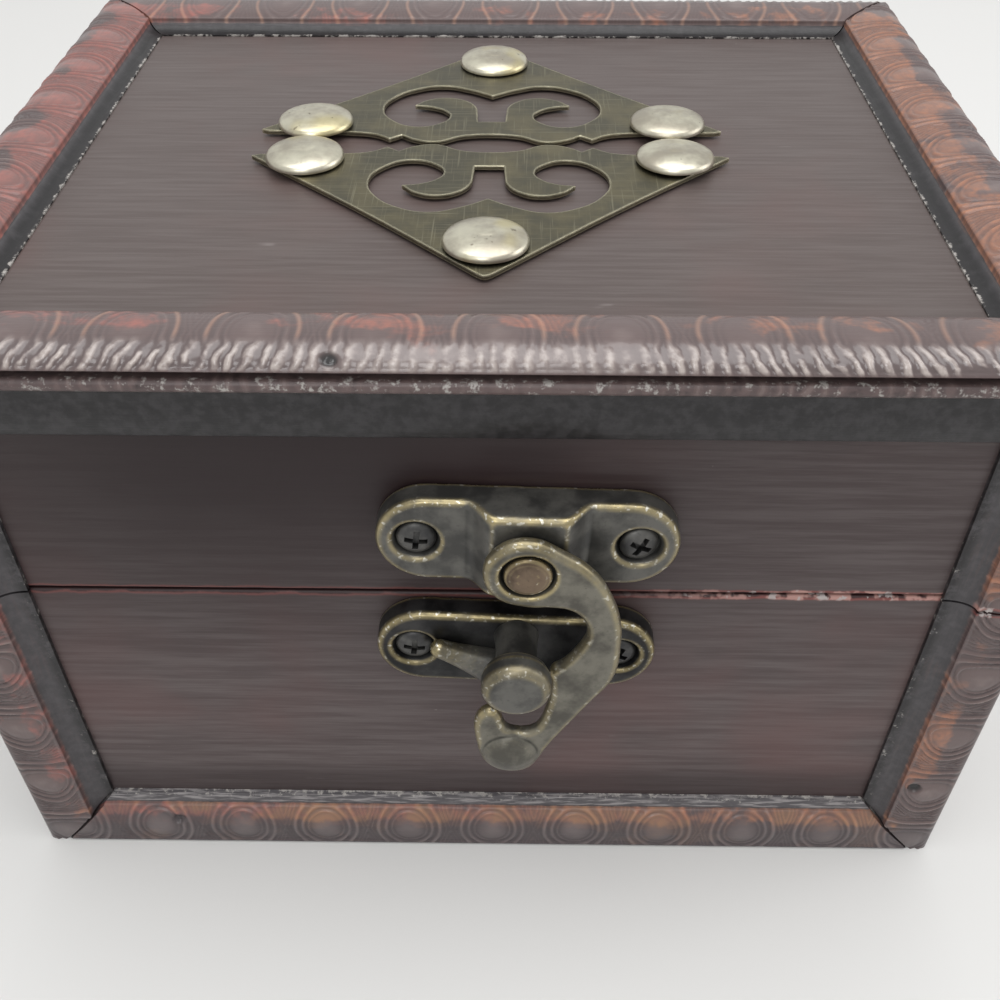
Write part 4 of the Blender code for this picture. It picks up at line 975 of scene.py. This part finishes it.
def mirrored(shares):
    """A closed outline from the right half's shares and their mirror image."""
    half = [(x * PLATE_HALF_WIDTH, -y * PLATE_REACH, kind) for x, y, kind in shares]
    return half + [(-x, y, kind) for x, y, kind in reversed(half) if x > 0]


def move(bm, spot):
    """Shift a shape."""
    bmesh.ops.translate(bm, vec=spot, verts=bm.verts)


def turn(bm, angle, axis):
    """Turn a shape about an axis through the origin."""
    bmesh.ops.rotate(bm, matrix=Matrix.Rotation(angle, 3, axis), verts=bm.verts)


for side, half_turns in (("front", 0), ("rear", 1)):
    low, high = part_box(f"scroll_plate_{side}")
    bm = outlined([mirrored(PLATE_EDGE_SHARES), mirrored(SCROLL_SHARES)], 10, extrude=PLATE / 2)
    bmesh.ops.dissolve_limit(bm, angle_limit=math.radians(0.5), verts=bm.verts, edges=bm.edges,
                             delimit={"NORMAL"})
    bmesh.ops.recalc_face_normals(bm, faces=bm.faces)
    turn(bm, math.pi * half_turns, "Z")
    move(bm, (0, low.y if half_turns else high.y, (low.z + high.z) / 2))
    sharp = [edge for edge in bm.edges if edge.is_manifold and edge.calc_face_angle() > 0.6]
    bmesh.ops.bevel(bm, geom=sharp, offset=PLATE_EASE, segments=2, profile=0.5, affect="EDGES",
                    clamp_overlap=True)
    piece(f"scrollwork_{side}", bm, plate_finish, "lid", "pressed_bronze", f"scroll_plate_{side}")


# Tacks.
# Domed upholstery tacks of pale brass, brushed, with a shallow dent ring where the hammer
# struck. Three hold each scroll plate.

TACK_DARK, TACK_LIGHT = (0.46, 0.42, 0.34, 1), (0.72, 0.69, 0.56, 1)
TACK_YELLOW = (0.62, 0.53, 0.24, 1)
TACK_SPOTS = (0.16, 0.13, 0.09, 1)
tack_finish, tree, shader = new_finish("pale_brass_brushed")
place = object_place(tree)
brushed = use(BRUSHED, Vector=place, Line_Scale=2600.0, Cloud_Scale=210.0)
tone = mix(rise(brushed["Clouds"], 0.35, 0.68), TACK_DARK, TACK_LIGHT)
tone = mix(times(rise(noise(place, 120, 2, 0.5), 0.54, 0.68), 0.55), tone, TACK_YELLOW)
tone = mix(times(rise(noise(place, 520, 3, 0.6), 0.66, 0.72), 0.7), tone, TACK_SPOTS)
fill(shader.inputs, Base_Color=tone, Metallic=1, Roughness=scaled(brushed["Lines"], 0.30, 0.18))
bump(shader, brushed["Lines"], 0.35, 0.00005)

TACK_HEIGHT = 0.0015
TACK_RIM = 0.0003
TACK_DENT, DENT_AT, DENT_WIDTH = 0.00006, 0.30, 0.07
TACK_WALL, TACK_HOLLOW = 0.0004, 0.0002
TACK_SHANK, TACK_LENGTH, TACK_POINT = 0.0008, 0.0030, 0.0008
TACK_STEPS = 24


def turned(profile, steps):
    """A shape turned about Z from (radius, height) points."""
    bm = bmesh.new()
    ring = [bm.verts.new((radius, 0, height)) for radius, height in profile]
    edges = [bm.edges.new(pair) for pair in zip(ring, ring[1:])]
    bmesh.ops.spin(bm, geom=ring + edges, cent=(0, 0, 0), axis=(0, 0, 1), angle=math.tau,
                   steps=steps, use_merge=True)
    bmesh.ops.remove_doubles(bm, verts=bm.verts, dist=2 * WELD)
    bmesh.ops.recalc_face_normals(bm, faces=bm.faces)
    return bm


tacks = [f"{side}_{spot}" for side in ("front", "rear") for spot in ("apex", "left", "right")]
for index, name in enumerate(tacks):
    low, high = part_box(f"tack_{name}")
    radius = (high.x - low.x) / 2
    profile = []
    for step in range(TACK_STEPS + 1):
        share = step / TACK_STEPS
        height = (TACK_HEIGHT - TACK_RIM) * math.cos(math.asin(share)) + TACK_RIM
        dent = TACK_DENT * math.exp(-((share - DENT_AT) / DENT_WIDTH) ** 2)
        profile.append((radius * share, height - dent))
    profile += [(radius, 0), (radius - TACK_WALL, 0), (TACK_SHANK, TACK_HOLLOW),
                (TACK_SHANK, TACK_POINT - TACK_LENGTH), (0, -TACK_LENGTH)]
    bm = turned(profile, 72)
    turn(bm, math.radians(1.5 * math.sin(index * 2.4)), "X")
    move(bm, ((low.x + high.x) / 2, (low.y + high.y) / 2, high.z - TACK_HEIGHT))
    piece(f"brass_tack_{name}", bm, tack_finish, "lid", "pale_brass", f"tack_{name}")


# Hook latch.
# Zinc castings with an antique bronze finish: dark olive, with brass showing on every
# worn edge. One screwed plate carries the hook on its boss, the other carries the catch.

# Bends, in 1/m, at which wear starts and is full, and at which dirt starts and is full.
WEAR_FLAT, WEAR_SHARP = 250, 950
DIRT_FLAT, DIRT_SHARP = 150, 1050
CAST_CELL, CAST_CELL_FINE, CAST_CELL_FINEST = 0.00016, 0.00014, 0.00012


def casting(bm, cell=CAST_CELL, melts=5):
    """A cast shape: one even skin over a solid, its edges melted round, with attributes for
    how sharply it bends outwards, rub, and inwards, hollow."""
    bmesh.ops.recalc_face_normals(bm, faces=bm.faces)
    mesh = bpy.data.meshes.new("casting")
    bm.to_mesh(mesh)
    bm.free()
    made = in_scene("casting", mesh)
    skin = made.modifiers.new("skin", "REMESH")
    skin.mode = "VOXEL"
    skin.voxel_size = cell
    melt = made.modifiers.new("melt", "SMOOTH")
    melt.factor = 0.5
    melt.iterations = melts
    mesh = plain_mesh(made)
    bpy.data.objects.remove(made)
    count = len(mesh.vertices)
    places, normals = np.empty(count * 3), np.empty(count * 3)
    pairs = np.empty(len(mesh.edges) * 2, dtype=np.int32)
    mesh.vertices.foreach_get("co", places)
    mesh.vertex_normals.foreach_get("vector", normals)
    mesh.edges.foreach_get("vertices", pairs)
    places, normals = places.reshape(-1, 3), normals.reshape(-1, 3)
    one, other = pairs.reshape(-1, 2).T
    meets = np.bincount(one, minlength=count) + np.bincount(other, minlength=count)

    def around(at_one, at_other):
        """The mean over a corner's edges of the values at their ends."""
        return (np.bincount(one, at_one, count) + np.bincount(other, at_other, count)) / meets

    along = places[one] - places[other]
    bend = ((normals[one] - normals[other]) * along).sum(1) / np.maximum((along ** 2).sum(1), 1e-12)
    bend = around(bend, bend)
    for again in range(2):
        bend = 0.4 * bend + 0.6 * around(bend[other], bend[one])
    for label, values in (("rub", (bend - WEAR_FLAT) / (WEAR_SHARP - WEAR_FLAT)),
                          ("hollow", (-bend - DIRT_FLAT) / (DIRT_SHARP - DIRT_FLAT))):
        mesh.attributes.new(label, "FLOAT", "POINT").data.foreach_set("value", np.clip(values, 0, 1))
    bm = bmesh.new()
    bm.from_mesh(mesh)
    return bm


BRASS = (0.46, 0.38, 0.20, 1)
BRASS_PALE = (0.88, 0.87, 0.80, 1)
GRIME = (0.010, 0.010, 0.010, 1)


def cast_bronze(name, dark, light, wear):
    """Blackened cast metal: cloudy, finely pitted, rubbed to brass where it bends outwards
    and black with grime where it bends inwards."""
    material, tree, shader = new_finish(name)
    place = object_place(tree)
    clouds = noise(place, 260, 4, 0.6)
    tone = mix(rise(clouds, 0.36, 0.66), dark, light)
    pits = rise(noise(place, 2600, 2, 0.6), 0.60, 0.72)
    tone = mix(times(pits, 0.35), tone, dark)
    tone = mix(times(attribute(tree, "hollow"), 0.85), tone, GRIME)
    broken = scaled(noise(place, 700, 3, 0.6), 1.6, -0.10)
    mask = maths("MINIMUM", times(attribute(tree, "rub"), broken, wear), 1.0)
    tone = mix(mask, tone, BRASS)
    tone = mix(times(rise(noise(place, 1900, 1, 0.5), 0.60, 0.70), mask), tone, BRASS_PALE)
    fill(shader.inputs, Base_Color=tone, Metallic=scaled(mask, 0.25, 0.70),
         Roughness=scaled(mask, -0.16, scaled(clouds, 0.35, 0.24)))
    bump(shader, scaled(pits, -0.6, clouds), 0.20, 0.00008)
    return material


latch_finish = cast_bronze("cast_bronze_antique", (0.060, 0.059, 0.056, 1), (0.135, 0.131, 0.120, 1), 1.0)
# The lower plate is a darker copy of the bronze: painted shade under the hook and the upper plate.
catch_shaded_finish = cast_bronze("cast_bronze_painted_shade", (0.012, 0.012, 0.013, 1), (0.045, 0.044, 0.044, 1), 1.0)
hook_finish = cast_bronze("cast_bronze_handled", (0.085, 0.080, 0.068, 1), (0.190, 0.180, 0.150, 1), 0.9)
rivet_finish = cast_bronze("rivet_bronze", (0.070, 0.048, 0.034, 1), (0.180, 0.130, 0.090, 1), 0.5)


def carve(bm, tool, operation="DIFFERENCE"):
    """Cut a tool shape out of a shape, or join it on."""
    pair = []
    for shape in (bm, tool):
        mesh = bpy.data.meshes.new("part")
        bmesh.ops.recalc_face_normals(shape, faces=shape.faces)
        shape.to_mesh(mesh)
        shape.free()
        pair.append(in_scene("part", mesh))
    step = pair[0].modifiers.new("carve", "BOOLEAN")
    step.operation, step.solver, step.object = operation, "EXACT", pair[1]
    result = bmesh.new()
    result.from_mesh(plain_mesh(pair[0]))
    for made in pair:
        bpy.data.objects.remove(made)
    return result


def recess(radius, face, above, shape, steps):
    """A cutter for a round recess in a face. Its shape holds (wider, deeper) points."""
    profile = [(0, face + above), (radius + shape[0][0], face + above)]
    profile += [(radius + wider, face - deeper) for wider, deeper in shape]
    return turned([*profile, (0, face - shape[-1][1])], steps)


def face_front(bm, spot):
    """Stand a shape made in plan up, its top to the front, at a spot."""
    turn(bm, math.pi / 2, "X")
    move(bm, spot)
    return bm


LATCH_LENGTH = 0.0317
LATCH_WIDTH = 0.0110
LATCH_PLATE = 0.0030
LATCH_ROUND = 0.0007
LATCH_STEPS, LATCH_SIDE_STEPS, LATCH_ROUND_STEPS = 24, 84, 5
BOSS_WIDTH = 0.0070
BOSS_SLOPE = 0.0030
SCREW_SPREAD = 0.0116
SINK_RADIUS, SINK_ABOVE = 0.0024, 0.001
SINK_SHAPE = ((0.0004, 0), (0.0001, 0.00025), (0, 0.0005), (-0.0002, 0.0010))
plate_low, plate_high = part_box("latch_hook_plate")
LATCH_BACK = plate_high.y
BOSS_RISE = LATCH_BACK - plate_low.y - LATCH_PLATE


def latch_outline():
    """Points and outward directions of a bar with round ends, above its long axis."""
    radius, half = LATCH_WIDTH / 2, LATCH_LENGTH / 2 - LATCH_WIDTH / 2
    points = []
    for step in range(LATCH_STEPS + 1):
        angle = math.pi * (1 - step / LATCH_STEPS / 2)
        out = Vector((math.cos(angle), math.sin(angle)))
        points.append((Vector((-half + radius * out.x, radius * out.y)), out))
    for step in range(1, LATCH_SIDE_STEPS):
        points.append((Vector((-half + 2 * half * step / LATCH_SIDE_STEPS, radius)), Vector((0, 1))))
    end = points[LATCH_STEPS::-1]
    return points + [(Vector((-point.x, point.y)), Vector((-out.x, out.y))) for point, out in end]


def latch_plate(rise_of_boss):
    """A thick bar with rounded edges, whose middle may rise to a boss on soft slopes."""
    def top(x):
        share = fade(BOSS_WIDTH / 2 + BOSS_SLOPE - abs(x), 0, BOSS_SLOPE)
        return LATCH_PLATE + rise_of_boss * share * share * (3 - 2 * share)

    bm = bmesh.new()
    upper = latch_outline()
    lower = [(Vector((point.x, -point.y)), Vector((out.x, -out.y))) for point, out in upper[-2:0:-1]]
    whole = upper + lower
    rings = [[bm.verts.new((point.x, point.y, 0)) for point, out in whole]]
    for step in range(LATCH_ROUND_STEPS + 1):
        angle = step / LATCH_ROUND_STEPS * math.pi / 2
        inset, drop = LATCH_ROUND * (1 - math.cos(angle)), LATCH_ROUND * (1 - math.sin(angle))
        spots = [point - out * inset for point, out in whole]
        rings.append([bm.verts.new((spot.x, spot.y, top(spot.x) - drop)) for spot in spots])
    count = len(whole)
    for low, high in zip(rings, rings[1:]):
        for index in range(count):
            other = (index + 1) % count
            bm.faces.new((low[index], low[other], high[other], high[index]))
    for ring in (rings[0], rings[-1]):
        for index in range(len(upper) - 1):
            across = (ring[(count - index - 1) % count], ring[(count - index) % count])
            bm.faces.new(list(dict.fromkeys((ring[index], ring[index + 1], *across))))
    bmesh.ops.recalc_face_normals(bm, faces=bm.faces)
    for side in (-1, 1):
        sink = recess(SINK_RADIUS, LATCH_PLATE, SINK_ABOVE, SINK_SHAPE, 48)
        move(sink, (side * SCREW_SPREAD, 0, 0))
        bm = carve(bm, sink)
    return bm


def middle_of(node):
    """The middle of a CAD node's box."""
    low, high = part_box(node)
    return (low + high) / 2


HOOK_TILT, CATCH_TILT = math.radians(1.6), math.radians(2.6)
catch_middle = (middle_of("latch_screw_lower_left") + middle_of("latch_screw_lower_right")) / 2
for name, node, body, finish, middle, tilt, boss in (
        ("latch_plate_upper", "latch_hook_plate", "lid", latch_finish, middle_of("latch_hook_plate"),
         HOOK_TILT, BOSS_RISE),
        ("latch_plate_lower", "latch_catch_plate", "base", catch_shaded_finish, catch_middle, CATCH_TILT, 0)):
    bm = latch_plate(boss)
    turn(bm, math.pi / 2, "X")
    turn(bm, tilt, "Y")
    move(bm, (middle.x, LATCH_BACK, middle.z))
    piece(name, casting(bm), finish, body, "cast_bronze", node)

# The hook: flat cast crescent with round edges, a cup for its rivet and a domed thumb knob.
HOOK = 0.0018
HOOK_ROUND = 0.00085
HOOK_SWELL = 0.00015
HOOK_REACH = 0.0333
HOOK_SHARES = (
    (0.000, -0.132), (0.116, -0.075), (0.197, -0.008), (0.257, 0.093), (0.293, 0.207),
    (0.302, 0.321), (0.289, 0.472), (0.221, 0.598), (0.142, 0.738), (0.076, 0.862),
    (0.051, 0.923), (0.016, 0.977), (-0.039, 0.997), (-0.094, 0.983), (-0.130, 0.949),
    (-0.154, 0.897), (-0.164, 0.838), (-0.170, 0.787), (-0.172, 0.730), (-0.162, 0.687),
    (-0.141, 0.659), (-0.110, 0.651), (-0.089, 0.676), (-0.076, 0.721), (-0.058, 0.756),
    (-0.019, 0.771), (0.029, 0.761), (0.055, 0.725), (0.074, 0.655), (0.089, 0.574),
    (0.090, 0.508), (0.088, 0.437), (0.116, 0.415), (0.140, 0.386), (0.166, 0.343),
    (0.184, 0.306), (0.197, 0.255), (0.179, 0.189), (0.134, 0.147), (0.074, 0.135),
    (0.000, 0.134), (-0.095, 0.095), (-0.134, 0.000), (-0.095, -0.095),
)
KNOB_SHARES = (-0.050, 0.880)
HOOK_CUP, CUP_DEPTH = 0.0029, 0.0009
CUP_SHAPE = ((0.0003, 0), (0.0001, 0.0001), (0, 0.0003), (-0.0001, CUP_DEPTH - 0.0002), (-0.0003, CUP_DEPTH))
KNOB, KNOB_RISE = 0.0036, 0.0012
pivot = middle_of("hook_rivet")
HOOK_BACK = plate_low.y - GAP
HOOK_FACE = HOOK_BACK - HOOK

outline = [(across * HOOK_REACH, -down * HOOK_REACH, "AUTO") for across, down in HOOK_SHARES]
bm = outlined([outline], 8, extrude=HOOK / 2 - HOOK_ROUND, bevel_depth=HOOK_ROUND, bevel_resolution=4,
              offset=HOOK_SWELL - HOOK_ROUND)
bm = carve(bm, recess(HOOK_CUP, HOOK / 2, HOOK / 2, CUP_SHAPE, 64))
dome = arc((0, HOOK / 2 - HOOK_ROUND), KNOB, KNOB_RISE + HOOK_ROUND, 0, 12)[::-1]
knob = turned([*dome, (KNOB, 0), (0, 0)], 64)
move(knob, (KNOB_SHARES[0] * HOOK_REACH, -KNOB_SHARES[1] * HOOK_REACH, 0))
bm = carve(bm, knob, "UNION")
face_front(bm, (pivot.x, HOOK_BACK - HOOK / 2, pivot.z))
piece("swing_hook", casting(bm, CAST_CELL_FINE), hook_finish, "hook", "cast_bronze", "latch_hook")

# The rivet: a low head set down in the hook's cup, browner than the castings.
RIVET_CELL = 0.00010
RIVET_HEAD, RIVET_RISE = 0.0025, 0.0008
RIVET_SHANK, RIVET_LENGTH = 0.0012, 0.003
RIVET_SHARES = ((0, 0.92), (0.45, 1), (0.75, 0.92), (0.93, 0.72), (1, 0.42), (1, 0))
profile = [(RIVET_HEAD * wide, RIVET_RISE * high) for wide, high in RIVET_SHARES]
profile += [(RIVET_SHANK, 0), (RIVET_SHANK, -RIVET_LENGTH), (0, -RIVET_LENGTH)]
rivet = face_front(turned(profile, 56), (pivot.x, HOOK_FACE + CUP_DEPTH - GAP, pivot.z))
piece("rivet_of_hook", casting(rivet, RIVET_CELL, 3), rivet_finish, "lid", "cast_bronze", "hook_rivet")

# The catch: a round head, flat in front, on a waisted neck, and a tapered horn beside it.
NECK, HEAD, HEAD_BACK, HEAD_FRONT, HEAD_ROUND = 0.0024, 0.0038, 0.0049, 0.0088, 0.0012
HEAD_CROWN, HEAD_SIDE, HEAD_UNDERCUT = 0.0001, 0.0014, 0.0005
NECK_ROOT = 0.0005
CATCH_DROP = 0.0036
catch_axis = Vector((catch_middle.x, LATCH_BACK - LATCH_PLATE, SEAM - CATCH_DROP))
profile = [(0, HEAD_FRONT), (HEAD * 0.4, HEAD_FRONT - HEAD_CROWN * 0.4)]
rounding = (HEAD - HEAD_ROUND, HEAD_FRONT - HEAD_CROWN - HEAD_ROUND)
profile += arc(rounding, HEAD_ROUND, HEAD_ROUND, 0, 6)[::-1]
profile += [(HEAD, HEAD_BACK + HEAD_SIDE), (HEAD * 0.90, HEAD_BACK + HEAD_UNDERCUT)]
profile += [(NECK * wide, share * HEAD_BACK)
            for share, wide in ((1, 1), (0.60, 0.95), (0.30, 0.97), (0.10, 1.02))]
profile += [(NECK * 1.08, -NECK_ROOT), (0, -NECK_ROOT)]
head = face_front(turned(profile, 64), catch_axis)
piece("catch_head", casting(head, CAST_CELL_FINE), latch_finish, "base", "cast_bronze")

HORN_TIP, HORN_ROOT, HORN_REACH, HORN_FALL, HORN_STAND = 0.0011, 0.0023, 0.0086, 0.0030, 0.0010
HORN_STEPS = 8
tip = catch_axis + Vector((-HORN_REACH, -HORN_STAND, -HORN_TIP))
root = catch_axis + Vector((-NECK, -HORN_STAND, -HORN_TIP - HORN_FALL))
length = (tip - root).length
profile = arc((0, length), HORN_TIP, HORN_TIP, 0, HORN_STEPS)[::-1]
for step in range(1, HORN_STEPS + 1):
    share = step / HORN_STEPS
    profile.append((HORN_TIP + (HORN_ROOT - HORN_TIP) * share ** 1.5, length * (1 - share)))
horn = turned([*profile, (0, 0)], 40)
bmesh.ops.rotate(horn, matrix=(tip - root).to_track_quat("Z", "Y").to_matrix(), verts=horn.verts)
move(horn, root)
piece("catch_horn", casting(horn, CAST_CELL_FINEST, 3), latch_finish, "base", "cast_bronze")


# Screws of the latch and hinges.
# Small cross-head screws, blackened, driven flush into their sinks. One tree makes the
# head and cuts the cross, and sets one on each point it is given.

SCREW_RISE = 0.40


def build_screws():
    """Geometry tree that stands a cross-head screw on every point of a mesh."""
    tree, given, gives = new_group(
        "GeometryNodeTree", "cross_head_screws",
        (("Geometry", "Geometry", None), ("Rise", "Float", SCREW_RISE), ("Slot Width", "Float", 0.30),
         ("Slot Length", "Float", 1.15), ("Slot Depth", "Float", 0.42), ("Finish", "Material", None)),
        (("Geometry", "Geometry"),))
    ball = add(tree, "GeometryNodeMeshUVSphere", {"Segments": 40, "Rings": 20, "Radius": 1.0}).outputs[0]
    squash = add(tree, "ShaderNodeCombineXYZ", {"X": 1.0, "Y": 1.0, "Z": given["Rise"]}).outputs[0]
    head = add(tree, "GeometryNodeTransform", {"Geometry": ball, "Scale": squash}).outputs[0]
    spot = add(tree, "GeometryNodeInputPosition").outputs[0]
    sinks = maths("ADD", minus(given["Rise"], given["Slot Depth"]), 0.5)
    lift = add(tree, "ShaderNodeCombineXYZ", {"Z": sinks}).outputs[0]
    for wide, long in (("X", "Y"), ("Y", "X")):
        inputs = {wide: given["Slot Width"], long: given["Slot Length"], "Z": 1.0}
        size = add(tree, "ShaderNodeCombineXYZ", inputs).outputs[0]
        bar = add(tree, "GeometryNodeMeshCube", {"Size": size}).outputs[0]
        bar = add(tree, "GeometryNodeTransform", {"Geometry": bar, "Translation": lift}).outputs[0]
        head = add(tree, "GeometryNodeMeshBoolean", {"Mesh 1": head, "Mesh 2": bar},
                   operation="DIFFERENCE", solver="EXACT").outputs["Mesh"]
    round_spot = add(tree, "ShaderNodeVectorMath", {0: spot, 1: squash}, operation="DIVIDE").outputs[0]
    from_middle = add(tree, "ShaderNodeVectorMath", {0: round_spot}, operation="LENGTH").outputs["Value"]
    inputs = {"Geometry": head, "Name": "hollow", "Value": maths("LESS_THAN", from_middle, 0.93)}
    head = add(tree, "GeometryNodeStoreNamedAttribute", inputs, data_type="FLOAT",
               domain="POINT").outputs[0]
    inputs = {"Vertices": 20, "Radius Top": 0.05, "Radius Bottom": 0.46, "Depth": 2.4}
    shank = add(tree, "GeometryNodeMeshCone", inputs).outputs[0]
    shank = add(tree, "GeometryNodeTransform", {"Geometry": shank, "Rotation": (math.pi, 0, 0)}).outputs[0]
    joined = add(tree, "GeometryNodeJoinGeometry")
    put(head, joined.inputs[0])
    put(shank, joined.inputs[0])
    stand = add(tree, "GeometryNodeInputNamedAttribute", {"Name": "stand"}, data_type="FLOAT_VECTOR")
    aim = add(tree, "FunctionNodeEulerToRotation", {0: stand.outputs["Attribute"]}).outputs[0]
    size = add(tree, "GeometryNodeInputNamedAttribute", {"Name": "size"}, data_type="FLOAT")
    inputs = {"Points": given["Geometry"], "Instance": joined.outputs[0], "Rotation": aim,
              "Scale": size.outputs["Attribute"]}
    placed = add(tree, "GeometryNodeInstanceOnPoints", inputs).outputs[0]
    put_out(tree, placed, given, gives)
    return tree


SCREWS = build_screws()
screw_finish = cast_bronze("blackened_screw", (0.045, 0.045, 0.046, 1), (0.125, 0.122, 0.115, 1), 0.0)
SCREW_TURNS = (1.45, 1.05, 0.20, 0.85, 0.55, 1.30)
LEANS = {"latch_screw_upper_right": 0.16}
LEAN = 0.02
for body, groups in (("lid", ("latch_screw_upper", "hinge_left_lid_screw", "hinge_right_lid_screw")),
                     ("base", ("latch_screw_lower", "hinge_left_base_screw", "hinge_right_base_screw"))):
    held = [f"{group}_{side}" for group in groups for side in ("left", "right")]
    places, stands, sizes = [], [], []
    for node, angle in zip(held, SCREW_TURNS):
        low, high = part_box(node)
        radius = (high.x - low.x) / 2
        front = node.startswith("latch")
        head = low.y + SCREW_RISE * radius if front else high.y - SCREW_RISE * radius
        places.append(((low.x + high.x) / 2, head, (low.z + high.z) / 2))
        upright = Matrix.Rotation(math.pi / 2 if front else -math.pi / 2, 3, "X")
        leaning = Matrix.Rotation(LEANS.get(node, LEAN), 3, "Z")
        stands += (leaning @ upright @ Matrix.Rotation(angle, 3, "Z")).to_euler()
        sizes.append(radius)
    mesh = bpy.data.meshes.new(f"screws_{body}")
    mesh.from_pydata(places, [], [])
    mesh.attributes.new("stand", "FLOAT_VECTOR", "POINT").data.foreach_set("vector", stands)
    mesh.attributes.new("size", "FLOAT", "POINT").data.foreach_set("value", sizes)
    made = in_scene(f"cross_head_screws_{body}", mesh)
    apply_tree(made, SCREWS, {"Finish": screw_finish})
    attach(made, body)
    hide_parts(*held)


# Hinges.
# Two small butt hinges of the same cast finish, screwed to the back: base leaf with two
# knuckles, lid leaf with one, and a pin with two small heads.

hinge_finish = cast_bronze("hinge_bronze", (0.060, 0.055, 0.044, 1), (0.140, 0.128, 0.098, 1), 0.0)
for name, made in nodes.items():
    if name.startswith("hinge_") and "screw" not in name:
        for place_slot in made.material_slots:
            place_slot.material = hinge_finish


# Sizes.
# The CAD model's box and the dressed model's box, side by side.

sizes = {"cad": [list(corner) for corner in cad_box], "visual": [list(corner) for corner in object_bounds()]}
